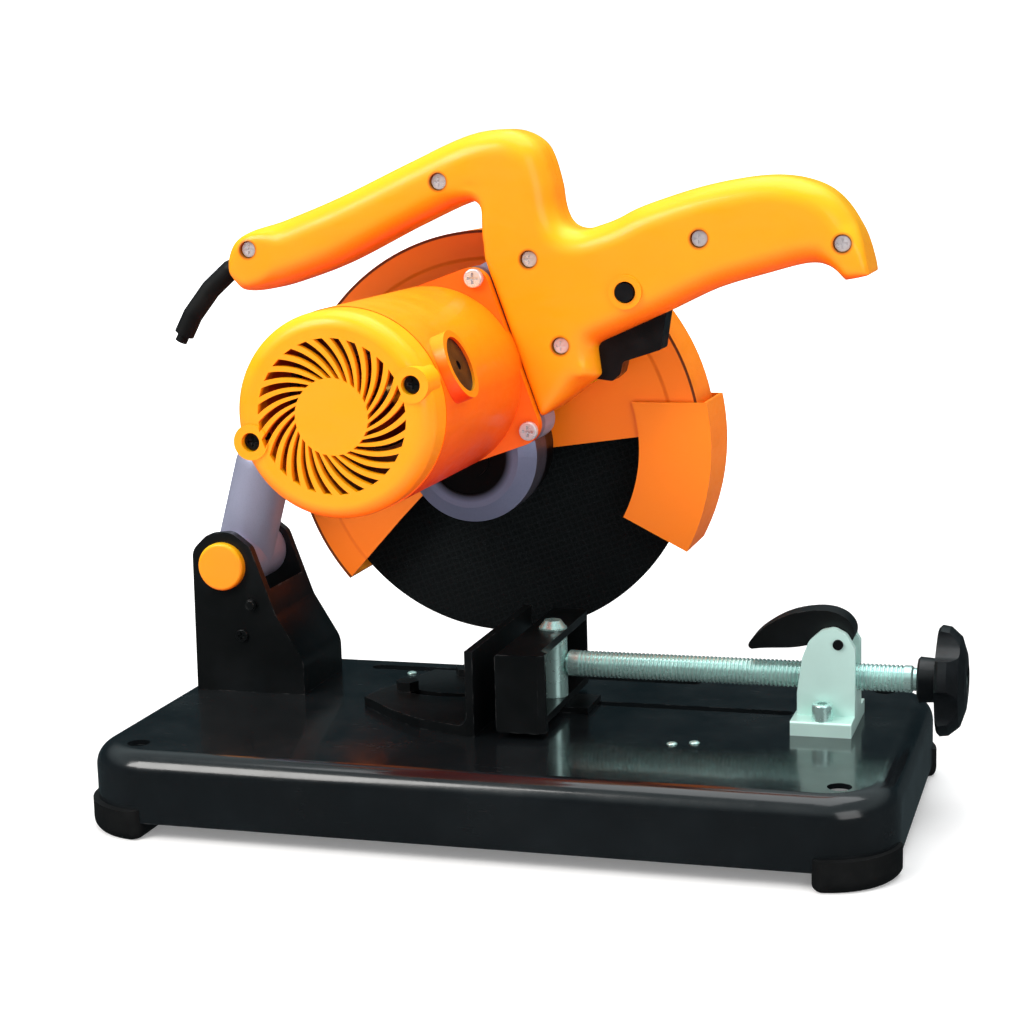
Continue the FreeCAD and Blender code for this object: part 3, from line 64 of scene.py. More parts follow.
class Graph:
    """Short-hands for building a shader node tree."""

    def __init__(self, tree):
        self.tree = tree

    def new(self, kind, **settings):
        node = self.tree.nodes.new(kind)
        for key, value in settings.items():
            setattr(node, key, value)
        return node

    def link(self, source, socket):
        self.tree.links.new(source, socket)

    def feed(self, value, socket):
        """Link a socket, or set a number or an RGB colour."""
        if isinstance(value, bpy.types.NodeSocket):
            self.link(value, socket)
        elif isinstance(value, tuple):
            socket.default_value = (*value, 1)
        else:
            socket.default_value = value

    def math(self, operation, a, b, clamp=False):
        node = self.new("ShaderNodeMath", operation=operation, use_clamp=clamp)
        self.feed(a, node.inputs[0])
        self.feed(b, node.inputs[1])
        return node.outputs[0]

    def times(self, a, b):
        return self.math("MULTIPLY", a, b)

    def ramp(self, value, span=(0.0, 1.0), to=(0.0, 1.0)):
        """Map the two values of span onto the two values of to, clamped."""
        node = self.new("ShaderNodeMapRange")
        node.inputs[FROM_MIN].default_value, node.inputs[FROM_MAX].default_value = span
        node.inputs[TO_MIN].default_value, node.inputs[TO_MAX].default_value = to
        self.link(value, node.inputs[0])
        return node.outputs[0]

    def band(self, value, rise, fall):
        """1 between the two slopes, 0 outside; each slope runs from its 0 to its 1."""
        return self.times(self.ramp(value, rise), self.ramp(value, fall))

    def mix(self, amount, a, b):
        node = self.new("ShaderNodeMix", data_type="RGBA")
        self.feed(a, node.inputs[MIX_A])
        self.feed(b, node.inputs[MIX_B])
        self.feed(amount, node.inputs[MIX_FACTOR])
        return node.outputs[MIX_RESULT]

    def separate(self, vector):
        node = self.new("ShaderNodeSeparateXYZ")
        self.link(vector, node.inputs[0])
        return node.outputs


class Finish(Graph):
    """A Principled material with procedural detail in object coordinates."""

    def __init__(self, name, base, rough, metallic=0.0, coat=0.0, spec=0.5):
        self.name = name
        self.material = bpy.data.materials.new(name)
        self.material.use_nodes = True
        super().__init__(self.material.node_tree)
        self.tree.nodes.clear()
        self.output = self.new("ShaderNodeOutputMaterial")
        self.shader = self.new("ShaderNodeBsdfPrincipled")
        self.link(self.shader.outputs[0], self.output.inputs[0])
        self.inputs = self.shader.inputs
        self.feed(base, self.inputs["Base Color"])
        self.feed(rough, self.inputs["Roughness"])
        self.feed(metallic, self.inputs["Metallic"])
        self.feed(coat, self.inputs["Coat Weight"])
        self.feed(0.06, self.inputs["Coat Roughness"])
        self.feed(spec, self.inputs["Specular IOR Level"])
        self.coords = self.new("ShaderNodeTexCoord").outputs["Object"]
        self.colour = base
        self.normal = None

    def noise(self, scale, detail, rough=0.55, stretch=None):
        node = self.new("ShaderNodeTexNoise")
        self.feed(scale, node.inputs["Scale"])
        self.feed(detail, node.inputs["Detail"])
        self.feed(rough, node.inputs["Roughness"])
        source = self.coords
        if stretch:
            mapping = self.new("ShaderNodeMapping")
            mapping.inputs["Scale"].default_value = stretch
            self.link(self.coords, mapping.inputs[0])
            source = mapping.outputs[0]
        self.link(source, node.inputs["Vector"])
        return node.outputs[0]

    def cells(self, scale):
        """Distance to the nearest Voronoi cell point."""
        node = self.new("ShaderNodeTexVoronoi")
        self.feed(scale, node.inputs["Scale"])
        self.link(self.coords, node.inputs["Vector"])
        return node.outputs[0]

    def stripes(self, scale, direction, turn):
        mapping = self.new("ShaderNodeMapping")
        mapping.inputs["Rotation"].default_value = turn
        self.link(self.coords, mapping.inputs[0])
        node = self.new("ShaderNodeTexWave", bands_direction=direction)
        self.feed(scale, node.inputs["Scale"])
        self.link(mapping.outputs[0], node.inputs["Vector"])
        return node.outputs[1]

    def radius(self, x, z):
        """Distance in metres from the line parallel to Y through x, z."""
        axes = self.separate(self.coords)
        dx = self.math("SUBTRACT", axes["X"], x)
        dz = self.math("SUBTRACT", axes["Z"], z)
        squares = self.math("ADD", self.times(dx, dx), self.times(dz, dz))
        node = self.new("ShaderNodeMath", operation="SQRT")
        self.link(squares, node.inputs[0])
        return node.outputs[0]

    def edges(self, radius, span):
        """1 on sharp edges, 0 on flats."""
        bevel = self.new("ShaderNodeBevel", samples=4)
        self.feed(radius, bevel.inputs["Radius"])
        geometry = self.new("ShaderNodeNewGeometry")
        dot = self.new("ShaderNodeVectorMath", operation="DOT_PRODUCT")
        self.link(bevel.outputs[0], dot.inputs[0])
        self.link(geometry.outputs["Normal"], dot.inputs[1])
        return self.ramp(self.math("SUBTRACT", 1.0, dot.outputs["Value"]), span)

    def tint(self, amount, colour):
        """Lay a colour over what the base colour is so far."""
        self.colour = self.mix(amount, self.colour, colour)
        self.link(self.colour, self.inputs["Base Color"])

    def mottle(self, colour, strength, span, **noise):
        """Lay a colour on in noise patches, up to the given strength."""
        self.tint(self.ramp(self.noise(**noise), span, to=(0, strength)), colour)

    def bump(self, height, strength, distance):
        """Add relief on top of the relief so far."""
        node = self.new("ShaderNodeBump")
        self.feed(strength, node.inputs["Strength"])
        self.feed(distance, node.inputs["Distance"])
        self.link(height, node.inputs["Height"])
        if self.normal is not None:
            self.link(self.normal, node.inputs["Normal"])
        self.normal = node.outputs[0]
        self.link(self.normal, self.inputs["Normal"])

    def roughen(self, span, to, **noise):
        """Vary the roughness with noise."""
        self.link(self.ramp(self.noise(**noise), span, to), self.inputs["Roughness"])


def srgb(*channels):
    """Linear colour from 0-255 sRGB channels."""
    def linear(c):
        return (c / 255 / 12.92) if c / 255 <= 0.04045 else ((c / 255 + 0.055) / 1.055) ** 2.4
    return tuple(linear(c) for c in channels)


def scaled(colour, factor, lift=0.0):
    return tuple(min(1, c * factor + lift) for c in colour)


# ---------------------------------------------------------------------------
# Materials
# ---------------------------------------------------------------------------
def plastic(name, base, top, low, rough, coat, grain=0.05):
    """Moulded plastic with painted light: the top colour as a painted highlight on faces turned
    up, the low colour as painted shade on faces turned down.
    """
    m = Finish(name, base, rough, coat=coat, spec=0.30)
    facing_up = m.separate(m.new("ShaderNodeNewGeometry").outputs["Normal"])["Z"]
    # Painted light: painted highlight on faces turned up, painted shade on faces turned down.
    m.tint(m.ramp(facing_up, span=(0.05, 0.85)), top)
    m.tint(m.ramp(facing_up, span=(-0.15, -0.8)), low)
    dark = (base[0] * 0.9, base[1] * 0.72, base[2] * 0.8)
    m.mottle(dark, strength=0.16, span=(0.40, 0.75), scale=26, detail=2)
    m.mottle(scaled(base, 1.12, lift=0.01), strength=0.10, span=(0.35, 0.7), scale=900, detail=2)
    m.roughen(span=(0.35, 0.75), to=(rough - 0.05, rough + 0.16),
              scale=55, detail=5, rough=0.65, stretch=(1, 1, 3.0))
    m.bump(m.noise(scale=1400, detail=2, rough=0.5), strength=grain, distance=0.0002)
    m.bump(m.noise(scale=130, detail=2, rough=0.5), strength=0.06, distance=0.0006)
    return m


def gloss_black(name, base, rough, coat, spec):
    """Black with specks, worn edges and fine scratches."""
    m = Finish(name, base, rough, coat=coat, spec=spec)
    m.mottle(srgb(28, 33, 36), strength=0.4, span=(0.45, 0.75), scale=24, detail=5, rough=0.6)
    m.mottle(srgb(70, 78, 80), strength=0.12, span=(0.72, 0.80), scale=2600, detail=1)
    patches = m.ramp(m.noise(scale=180, detail=4, rough=0.7), span=(0.50, 0.62))
    wear = m.math("MULTIPLY", m.edges(radius=0.0009, span=(0.06, 0.35)), patches, clamp=True)
    m.tint(m.times(wear, 0.45), srgb(120, 122, 122))
    scratch = m.ramp(m.noise(scale=60, detail=6, rough=0.7, stretch=(1, 14, 14)),
                     span=(0.62, 0.70))
    smear = m.ramp(m.noise(scale=30, detail=5, rough=0.6), span=(0.35, 0.8),
                   to=(rough - 0.04, rough + 0.16))
    m.link(m.math("ADD", smear, m.times(scratch, 0.08)), m.inputs["Roughness"])
    m.bump(m.noise(scale=420, detail=2, rough=0.45), strength=0.05, distance=0.0005)
    return m


def metal(name, base, rough, metallic=1.0, dirt=0.25, cast=False,
          grain_scale=700, grain=0.08, stretch=None):
    """Metal with dirt and bright edges; pitted if cast, else with a fine grain."""
    m = Finish(name, base, rough, metallic)
    m.mottle(scaled(base, 0.55), strength=dirt, span=(0.42, 0.75), scale=45, detail=5, rough=0.65)
    if cast:
        m.tint(m.ramp(m.cells(scale=900), span=(0.0, 0.5), to=(0.16, 0)), scaled(base, 0.6))
        m.bump(m.noise(scale=900, detail=4, rough=0.7), strength=0.25, distance=0.0004)
        m.bump(m.noise(scale=160, detail=3, rough=0.6), strength=0.12, distance=0.0008)
    else:
        m.bump(m.noise(grain_scale, detail=3, rough=0.6, stretch=stretch),
               strength=grain, distance=0.0002)
    m.roughen(span=(0.3, 0.8), to=(rough - 0.07, rough + 0.14), scale=80, detail=4, rough=0.6)
    m.tint(m.times(m.edges(radius=0.0006, span=(0.05, 0.3)), 0.5), scaled(base, 1.25))
    return m


def orange_cap():
    """Handle shells: a painted shadow of the recess round each screw head, on the near half only.
    """
    # top is a painted highlight colour, low a painted shade colour.
    m = plastic("orange_cap", srgb(255, 150, 8), top=srgb(255, 200, 8), low=srgb(252, 92, 8),
                rough=0.34, coat=0.10)
    near_half = m.ramp(m.separate(m.coords)["Y"], span=(0.036, 0.034))
    for x, z in HANDLE_SCREWS:
        # Painted shadow: a dark ring round each screw head.
        recess_shadow = m.band(m.radius(x * MM, z * MM), rise=(0.0028, 0.0032), fall=(0.0056, 0.0042))
        m.tint(m.times(m.times(recess_shadow, 0.75), near_half), srgb(120, 34, 4))
    return m


def orange_guard():
    """Guard panels: a painted shadow line on the rim, and a pressed step a little inside it with
    painted shade along it.
    """
    # top is a painted highlight colour, low a painted shade colour.
    m = plastic("orange_guard", srgb(255, 122, 4), top=srgb(255, 160, 4), low=srgb(248, 84, 2),
                rough=0.40, coat=0.04, grain=0.03)
    radius = m.radius(*SPINDLE)
    # Painted shadow: a near-black band along the rim.
    rim_shadow = m.band(radius, rise=(0.1083, 0.1087), fall=(0.10992, 0.10980))
    m.tint(m.times(rim_shadow, 0.9), srgb(58, 22, 8))
    # Painted shade: a darker orange line along the pressed step.
    line = m.band(radius, rise=(0.0945, 0.0953), fall=(0.0968, 0.0958))
    m.tint(m.times(line, 0.30), srgb(190, 60, 6))
    m.bump(m.ramp(radius, span=(0.0945, 0.0965)), strength=0.6, distance=0.0012)
    return m


def cast_round_spindle(name, base, rough, metallic, dirt, shadow_span, dark):
    """Cast metal with a painted shadow: dark inside the radii of shadow_span round the spindle.
    """
    m = metal(name, base, rough, metallic, dirt, cast=True)
    # Painted shadow round the spindle.
    m.tint(m.ramp(m.radius(*SPINDLE), shadow_span), dark)
    return m


def rubber():
    m = Finish("rubber", srgb(10, 11, 12), rough=0.66, spec=0.25)
    m.mottle(srgb(30, 29, 28), strength=0.4, span=(0.45, 0.8), scale=70, detail=5)
    m.roughen(span=(0.3, 0.8), to=(0.5, 0.78), scale=120, detail=4)
    m.bump(m.noise(scale=1100, detail=3, rough=0.6), strength=0.22, distance=0.0003)
    return m


def black_plastic():
    m = Finish("black_plastic", srgb(9, 12, 15), rough=0.40, coat=0.06, spec=0.3)
    m.mottle(srgb(26, 30, 34), strength=0.35, span=(0.45, 0.8), scale=90, detail=4)
    m.roughen(span=(0.3, 0.8), to=(0.30, 0.5), scale=160, detail=4)
    m.bump(m.cells(scale=1500), strength=0.14, distance=0.0002)
    return m


def carbon():
    m = Finish("carbon", srgb(40, 40, 44), rough=0.5)
    m.mottle(srgb(70, 70, 74), strength=0.5, span=(0.4, 0.7), scale=300, detail=3)
    m.bump(m.noise(scale=900, detail=2), strength=0.1, distance=0.0002)
    return m


def abrasive():
    """Resin-bonded wheel: dark grit, glints, and a woven mesh just under the face."""
    m = Finish("abrasive", srgb(7, 11, 12), rough=0.90, spec=0.12)
    grit = m.cells(scale=1300)
    m.tint(m.ramp(grit, span=(0.15, 0.6), to=(0.45, 0)), srgb(30, 34, 36))
    m.mottle(srgb(84, 90, 94), strength=0.5, span=(0.68, 0.76), scale=2400, detail=1)
    turn = (0, math.radians(20), 0)
    threads = [m.stripes(scale=95, direction=axis, turn=turn) for axis in "XZ"]
    mesh = m.math("MAXIMUM", *[m.ramp(thread, span=(0.72, 1.0)) for thread in threads])
    m.tint(m.times(mesh, 0.10), srgb(52, 58, 60))
    m.mottle(srgb(12, 15, 17), strength=0.5, span=(0.45, 0.7), scale=30, detail=4)
    m.bump(grit, strength=0.5, distance=0.0004)
    m.bump(mesh, strength=0.35, distance=0.0003)
    return m


FINISHES = [
    orange_cap(),
    # In the plastics below, top is a painted highlight colour and low a painted shade colour.
    plastic("orange_motor", srgb(252, 100, 6), top=srgb(252, 172, 6), low=srgb(240, 50, 2),
            rough=0.36, coat=0.06),
    orange_guard(),
    plastic("orange_spark", srgb(255, 128, 8), top=srgb(255, 160, 6), low=srgb(240, 84, 6),
            rough=0.42, coat=0.04, grain=0.03),
    gloss_black("base_black", srgb(16, 19, 21), rough=0.17, coat=0.28, spec=0.38),
    gloss_black("black_parts", srgb(7, 9, 10), rough=0.34, coat=0.08, spec=0.32),
    # The dark colour round the spindle in cast_alu and cast_dull is painted shadow.
    cast_round_spindle("cast_alu", srgb(168, 170, 194), rough=0.42, metallic=0.45, dirt=0.12,
                       shadow_span=(0.036, 0.0335), dark=srgb(10, 10, 12)),
    metal("zinc", srgb(196, 232, 226), rough=0.25, metallic=0.7, dirt=0.08,
          grain_scale=260, grain=0.02),
    metal("screw_chrome", srgb(238, 232, 236), rough=0.24, metallic=0.5, dirt=0.06,
          grain_scale=220, grain=0.02),
    # cast_dull is a darker copy of the cast aluminium, painted shade for the bearing plate.
    cast_round_spindle("cast_dull", srgb(128, 132, 160), rough=0.40, metallic=0.5, dirt=0.15,
                       shadow_span=(0.0235, 0.0195), dark=srgb(8, 8, 10)),
    metal("bright_plate", srgb(206, 240, 232), rough=0.42, metallic=0.35, dirt=0.10,
          grain_scale=500, grain=0.04),
    metal("steel", srgb(150, 152, 156), rough=0.32, grain=0.1),
    metal("copper", srgb(200, 110, 60), rough=0.35, grain_scale=800, grain=0.2,
          stretch=(1, 10, 1)),
    metal("brass", srgb(205, 170, 90), rough=0.3),
    rubber(),
    black_plastic(),
    carbon(),
    abrasive(),
]
MATERIALS = {finish.name: finish.material for finish in FINISHES}

# Pieces whose material differs from the one their slot names
OVERRIDES = {
    # The bearing plate takes the darker cast_dull: painted shade.
    "bearing_plate": "cast_dull",
    "vise_bracket": "bright_plate",
    "spark_guard": "orange_spark",
}


def paint_cad_pieces():
    slot_names = {s["node"]: s["material_slot"] for s in frame["record"]["subparts"]}
    for name, piece in frame["nodes"].items():
        key = slot_names.get(name, "steel")
        # Only the base plate itself is glossy.
        if key == "base_black" and name != "base_plate":
            key = "black_parts"
        material = MATERIALS[OVERRIDES.get(name, key)]
        if not piece.material_slots:
            piece.data.materials.append(material)
        for slot in piece.material_slots:
            slot.link = "OBJECT"
            slot.material = material


paint_cad_pieces()


# ---------------------------------------------------------------------------
# Mesh helpers
# ---------------------------------------------------------------------------
def object_from(name, bm, material=None, smooth=False):
    mesh = bpy.data.meshes.new(name)
    bm.to_mesh(mesh)
    bm.free()
    obj = bpy.data.objects.new(name, mesh)
    bpy.context.collection.objects.link(obj)
    if material:
        mesh.materials.append(material)
    if smooth:
        for polygon in mesh.polygons:
            polygon.use_smooth = True
    return obj


def apply_modifier(obj, kind, **settings):
    modifier = obj.modifiers.new(kind.lower(), kind)
    for key, value in settings.items():
        setattr(modifier, key, value)
    depsgraph = bpy.context.evaluated_depsgraph_get()
    mesh = bpy.data.meshes.new_from_object(obj.evaluated_get(depsgraph))
    old = obj.data
    obj.modifiers.clear()
    obj.data = mesh
    bpy.data.meshes.remove(old)


def prism(name, loop, y0, y1):
    """Solid between two Y planes from a closed X, Z loop, in millimetres."""
    bm = bmesh.new()
    start, end = [[bm.verts.new((p[0] * MM, y * MM, p[1] * MM)) for p in loop] for y in (y0, y1)]
    bm.faces.new(start)
    bm.faces.new(end[::-1])
    for i in range(len(loop)):
        j = (i + 1) % len(loop)
        bm.faces.new((start[j], start[i], end[i], end[j]))
    bmesh.ops.recalc_face_normals(bm, faces=bm.faces)
    return object_from(name, bm)


def circle(x, z, radius, count=40):
    angles = [2 * math.pi * i / count for i in range(count)]
    return [(x + radius * math.cos(a), z + radius * math.sin(a)) for a in angles]


def combine(obj, loop, y0, y1, operation="DIFFERENCE"):
    """Cut a prism out of an object, or join it on."""
    tool = prism("tool", loop, y0, y1)
    apply_modifier(obj, "BOOLEAN", operation=operation, object=tool, solver="EXACT")
    bpy.data.objects.remove(tool)


def spline(points, step=2.0):
    """Catmull-Rom through the points, sampled about every step."""
    points = [Vector(p) for p in points]
    last = len(points) - 1
    out = []
    for i in range(last):
        p0, p1 = points[max(i - 1, 0)], points[i]
        p2, p3 = points[i + 1], points[min(i + 2, last)]
        count = max(2, int((p2 - p1).length / step))
        for j in range(count):
            t = j / count
            out.append(0.5 * ((2 * p1) + (p2 - p0) * t
                              + (2 * p0 - 5 * p1 + 4 * p2 - p3) * t * t
                              + (3 * p1 - p0 - 3 * p2 + p3) * t ** 3))
    out.append(points[-1])
    return out


# ---------------------------------------------------------------------------
# Handle: two moulded halves, millimetres
# ---------------------------------------------------------------------------
# Outline as X, Z points, in order round the handle.
# Over the top, from the -X end to the +X end:
TOP = [
    (-155.5, 259), (-155.0, 267.5), (-151, 275.0), (-142, 280.3), (-126, 285.2), (-95.5, 296.5),
    (-60, 312), (-31, 324), (-14, 327.3), (-2, 326), (8.5, 318.5), (14.2, 302), (16.2, 289),
    (20.2, 281.0), (28, 278.4), (38, 280.8), (46, 283.6), (59.5, 289.8), (90, 298.8),
    (118, 302.8), (138, 300.3), (152, 292.5), (162.5, 277), (168, 256),
]
# Back along the underside of the +X part:
UNDERSIDE = [(156, 253.5), (150, 259.5), (139, 261.5), (118, 256.5), (94, 249.5), (70, 238.5)]
# Straight-sided foot below the middle:
FOOT = [(34.6, 223), (36.6, 207.7), (7.8, 187.4), (-19.0, 265.7)]
# Under the -X part, back to the -X end:
ARCH = [
    (-20.0, 281.5), (-21.2, 290.6), (-30, 292.7), (-60, 280.2), (-97, 262.7), (-126, 252.8),
    (-140, 249.8), (-149, 250.0),
]
OUTLINE = spline(TOP) + spline(UNDERSIDE) + [Vector(p) for p in FOOT] + spline(ARCH)

# Lines along which the edge keeps its small radius
TIGHT_LINES = [
    [FOOT[2], FOOT[3], ARCH[0]],
    [(162, 262), TOP[-1]],
    [(-149, 262), (-145, 272)],
]
MID_Y = 38.0
HALF_THICK = 20.8
EDGE_RADIUS = 12.5
TIGHT_RADIUS = 2.2
TIGHT_REACH = 3.0  # distance from a tight line with the small radius
TIGHT_FADE = 16.0  # further distance over which the radius grows to full
VOXEL = 0.0013     # metres
PARTING_GAP = 0.12  # from the mid plane to each half
SPLIT_ANGLE = 42   # degrees

SCREW_HOLE_RADIUS = 4.25
SCREW_HOLE_FLOOR_Y = 20.95
TOOL_START_Y = 10.0  # clear of the near face

BOSS_CENTRE = (52, 249)
BOSS_RADIUS = 8.2
BOSS_Y = (16.0, 26.0)
BOSS_HOLE_RADIUS = 5.2
BOSS_HOLE_FLOOR_Y = 30.0

POCKET = [(24, 211.5), (31, 201), (38, 199), (79, 212), (81, 246), (70, 256), (24, 240)]  # X, Z
POCKET_HALF_WIDTH = 7.3


def line_distance(points, starts, ends):
    """Distance from each point to the nearest of the segments."""
    best = np.full(len(points), 1e9)
    for a, b in zip(starts, ends):
        along = b - a
        square = float(along @ along)
        if square > 1e-12:
            t = np.clip(((points - a) @ along) / square, 0, 1)
        else:
            t = np.zeros(len(points))
        nearest = a + t[:, None] * along
        best = np.minimum(best, np.hypot(*(points - nearest).T))
    return best


def read_vectors(mesh, attribute):
    flat = np.empty(len(mesh.vertices) * 3)
    mesh.vertices.foreach_get(attribute, flat)
    return flat.reshape(-1, 3)


def round_over(blank):
    """Roll the two faces of the flat blank over to its sides."""
    mesh = blank.data
    spots = read_vectors(mesh, "co") / MM
    flat = spots[:, [0, 2]]
    outline = np.array([(p[0], p[1]) for p in OUTLINE])
    inset = line_distance(flat, outline, np.roll(outline, -1, 0))
    tight = np.full(len(flat), 1e9)
    for line in TIGHT_LINES:
        line = np.array(line)
        tight = np.minimum(tight, line_distance(flat, line[:-1], line[1:]))
    growth = np.clip((tight - TIGHT_REACH) / TIGHT_FADE, 0, 1)
    radius = TIGHT_RADIUS + (EDGE_RADIUS - TIGHT_RADIUS) * growth

    # Faces sink towards the mid plane near the outline.
    y = spots[:, 1] - MID_Y
    depth = np.abs(y)
    on_face = (depth > HALF_THICK - 0.8) & (inset > 0.75)
    run = np.clip(inset, 0, radius)
    arc = HALF_THICK - radius + np.sqrt(np.clip(radius ** 2 - (radius - run) ** 2, 0, None))
    spots[:, 1] = np.where(on_face, np.sign(y) * np.minimum(depth, arc), y) + MID_Y

    # Sides move inwards, against their normals, near the faces.
    on_side = ~on_face & (inset <= 1.4)
    over = np.clip(depth - (HALF_THICK - radius), 0, radius)
    inward = radius - np.sqrt(np.clip(radius ** 2 - over ** 2, 0, None))
    normals = read_vectors(mesh, "normal")[:, [0, 2]]
    lengths = np.hypot(*normals.T)
    lengths[lengths < 1e-6] = 1
    moved = flat + -normals / lengths[:, None] * inward[:, None]
    spots[:, [0, 2]] = np.where(on_side[:, None], moved, flat)
    mesh.vertices.foreach_set("co", (spots * MM).reshape(-1))
    mesh.update()


def handle_body():
    body = prism("grip_blank", OUTLINE, MID_Y - HALF_THICK, MID_Y + HALF_THICK)
    apply_modifier(body, "REMESH", mode="VOXEL", voxel_size=VOXEL)
    round_over(body)
    apply_modifier(body, "REMESH", mode="VOXEL", voxel_size=VOXEL)
    apply_modifier(body, "SMOOTH", factor=0.5, iterations=14)
    combine(body, circle(*BOSS_CENTRE, BOSS_RADIUS), *BOSS_Y, operation="UNION")
    for x, z in HANDLE_SCREWS:
        combine(body, circle(x, z, SCREW_HOLE_RADIUS), TOOL_START_Y, SCREW_HOLE_FLOOR_Y)
    combine(body, circle(*BOSS_CENTRE, BOSS_HOLE_RADIUS), TOOL_START_Y, BOSS_HOLE_FLOOR_Y)
    combine(body, POCKET, MID_Y - POCKET_HALF_WIDTH, MID_Y + POCKET_HALF_WIDTH)
    return body


def handle_half(body, name, near):
    """The part of the body on one side of the mid plane, closed with a flat face."""
    bm = bmesh.new()
    bm.from_mesh(body.data)
    cut_y = MID_Y - PARTING_GAP if near else MID_Y + PARTING_GAP
    cut = bmesh.ops.bisect_plane(
        bm, geom=bm.verts[:] + bm.edges[:] + bm.faces[:], dist=1e-7,
        plane_co=(0, cut_y * MM, 0), plane_no=(0, 1, 0),
        clear_outer=near, clear_inner=not near)
    rim = [e for e in cut["geom_cut"] if isinstance(e, bmesh.types.BMEdge)]
    bmesh.ops.holes_fill(bm, edges=rim, sides=0)
    # The body's mesh has no material, so the half's own is the first.
    half = object_from(name, bm, MATERIALS["orange_cap"], smooth=True)
    split = half.modifiers.new("edge", "EDGE_SPLIT")
    split.split_angle = math.radians(SPLIT_ANGLE)
    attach(half, "head")
    return half


handle = handle_body()
near_half = handle_half(handle, "grip_half_near", True)
far_half = handle_half(handle, "grip_half_far", False)
bpy.data.objects.remove(handle)
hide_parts("handle_shell_near")
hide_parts("handle_shell_far")

# ---------------------------------------------------------------------------
# Rivets: low domed heads standing on the tray, millimetres
# ---------------------------------------------------------------------------
RIVETS = [(-82, 70), (93, -28.6), (83, -32.4)]  # X, Y
TRAY_Z = 41.0
RIVET_RADIUS = 2.6
RIVET_HEIGHT = 1.1
RIVET_SEGMENTS = 24
# Share of the radius, share of the height
RIVET_PROFILE = [(1, 0.0), (1, 0.25), (0.86, 0.62), (0.5, 0.92)]
RIVET_TIP_RADIUS = 0.0001


def rivet(name, x, y):
    profile = [(r * RIVET_RADIUS, h * RIVET_HEIGHT) for r, h in RIVET_PROFILE]
    profile.append((RIVET_TIP_RADIUS, RIVET_HEIGHT))
    bm = bmesh.new()
    rings = [[bm.verts.new((px * MM, py * MM, (TRAY_Z + height) * MM))
              for px, py in circle(x, y, radius, RIVET_SEGMENTS)]
             for radius, height in profile]
    for a, b in zip(rings[:-1], rings[1:]):
        for i in range(RIVET_SEGMENTS):
            j = (i + 1) % RIVET_SEGMENTS
            bm.faces.new((a[i], a[j], b[j], b[i]))
    bm.faces.new(rings[0][::-1])
    bm.faces.new(rings[-1])
    head = object_from(name, bm, MATERIALS["zinc"], smooth=True)
    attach(head, "base")


for number, (x, y) in enumerate(RIVETS, 1):
    rivet("tray_rivet_%d" % number, x, y)


# ---------------------------------------------------------------------------
# Floor, light, camera: metres
# ---------------------------------------------------------------------------
def floor_material():
    """Pale floor that glows to white far off for the camera, and is dark in reflections."""
    m = Finish("floor", (0.93, 0.93, 0.93), rough=0.7)
    m.mottle((0.88, 0.89, 0.89), strength=0.06, span=(0.3, 0.8), scale=3, detail=3)
    m.feed((1, 1, 1), m.inputs["Emission Color"])
    rays = m.new("ShaderNodeLightPath").outputs
    length = m.new("ShaderNodeVectorMath", operation="LENGTH")
    m.link(m.new("ShaderNodeNewGeometry").outputs["Position"], length.inputs[0])
    far = m.ramp(length.outputs["Value"], span=(0.42, 1.1))
    seen = m.times(far, rays["Is Camera Ray"])
    m.link(m.math("ADD", 0.20, seen), m.inputs["Emission Strength"])
    dim = m.new("ShaderNodeEmission")
    m.feed((0.045, 0.062, 0.068), dim.inputs["Color"])
    m.feed(0.9, dim.inputs["Strength"])
    choice = m.new("ShaderNodeMixShader")
    m.link(rays["Is Glossy Ray"], choice.inputs[0])
    m.link(m.shader.outputs[0], choice.inputs[1])
    m.link(dim.outputs[0], choice.inputs[2])
    m.link(choice.outputs[0], m.output.inputs[0])
    return m.material


def add_floor():
    bm = bmesh.new()
    bmesh.ops.create_grid(bm, x_segments=1, y_segments=1, size=30.0)
    object_from("floor", bm, floor_material())


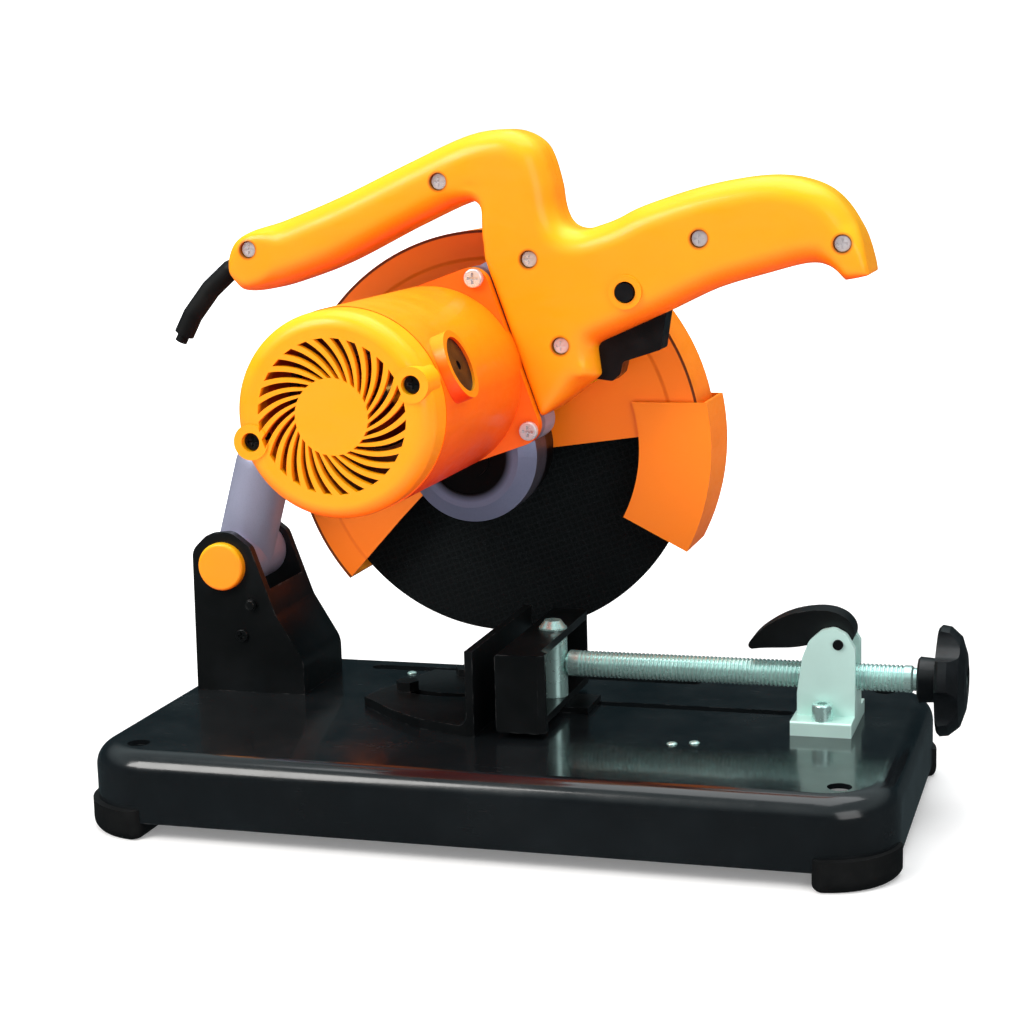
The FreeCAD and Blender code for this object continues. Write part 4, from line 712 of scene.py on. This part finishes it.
def add_world():
    """White surroundings; reflections see a bright sky above a dark horizon."""
    world = bpy.data.worlds.new("studio")
    bpy.context.scene.world = world
    world.use_nodes = True
    g = Graph(world.node_tree)
    background = g.tree.nodes["Background"]
    rays = g.new("ShaderNodeLightPath").outputs
    direction = g.separate(g.new("ShaderNodeTexCoord").outputs["Generated"])
    height = g.ramp(direction["Z"], span=(0.30, 0.62))
    reflected = g.mix(height, (0.020, 0.045, 0.055), (0.80, 0.97, 1.0))
    colour = g.mix(rays["Is Glossy Ray"], (1.0, 1.0, 1.0), reflected)
    g.link(colour, background.inputs["Color"])
    g.link(g.ramp(rays["Is Camera Ray"], to=(0.62, 1.15)), background.inputs["Strength"])


def add_light(name, location, target, size, power, colour=(1, 1, 1)):
    light = bpy.data.lights.new(name, "AREA")
    light.shape = "RECTANGLE"
    light.size = size
    light.size_y = size
    light.energy = power
    light.color = colour
    lamp = bpy.data.objects.new(name, light)
    bpy.context.collection.objects.link(lamp)
    lamp.location = location
    aim = Vector(target) - Vector(location)
    lamp.rotation_euler = aim.to_track_quat("-Z", "Y").to_euler()


def add_camera(location, azimuth, elevation, roll, lens):
    """Camera set by angles in radians; azimuth turns from -Y towards +X."""
    data = bpy.data.cameras.new("camera")
    camera = bpy.data.objects.new("camera", data)
    bpy.context.collection.objects.link(camera)
    data.sensor_width = 36.0
    data.lens = lens
    data.clip_start = 0.01
    back = Vector((math.sin(azimuth) * math.cos(elevation),
                   -math.cos(azimuth) * math.cos(elevation), math.sin(elevation)))
    right = Vector((math.cos(azimuth), math.sin(azimuth), 0))
    up = back.cross(right)
    rolled_right = right * math.cos(roll) + up * math.sin(roll)
    rolled_up = up * math.cos(roll) - right * math.sin(roll)
    pose = Matrix((rolled_right, rolled_up, back)).transposed().to_4x4()
    pose.translation = Vector(location)
    camera.matrix_world = pose
    bpy.context.scene.camera = camera


add_floor()
add_world()
bpy.context.scene.view_settings.view_transform = "Standard"
add_light("key", (-0.9, -1.1, 1.3), target=(0, 0, 0.15), size=0.8, power=22,
          colour=(1, 0.98, 0.95))
add_light("fill", (1.3, -1.2, 0.7), target=(0, 0, 0.15), size=1.0, power=8)
add_light("top", (0.1, 0.2, 1.6), target=(0, 0, 0.1), size=1.4, power=16,
          colour=(0.97, 0.99, 1))
add_camera((0.29401468, -0.97584904, 0.32754276), azimuth=0.29479357856524435,
           elevation=0.1782725937449634, roll=-0.02668098705042749, lens=74.805)
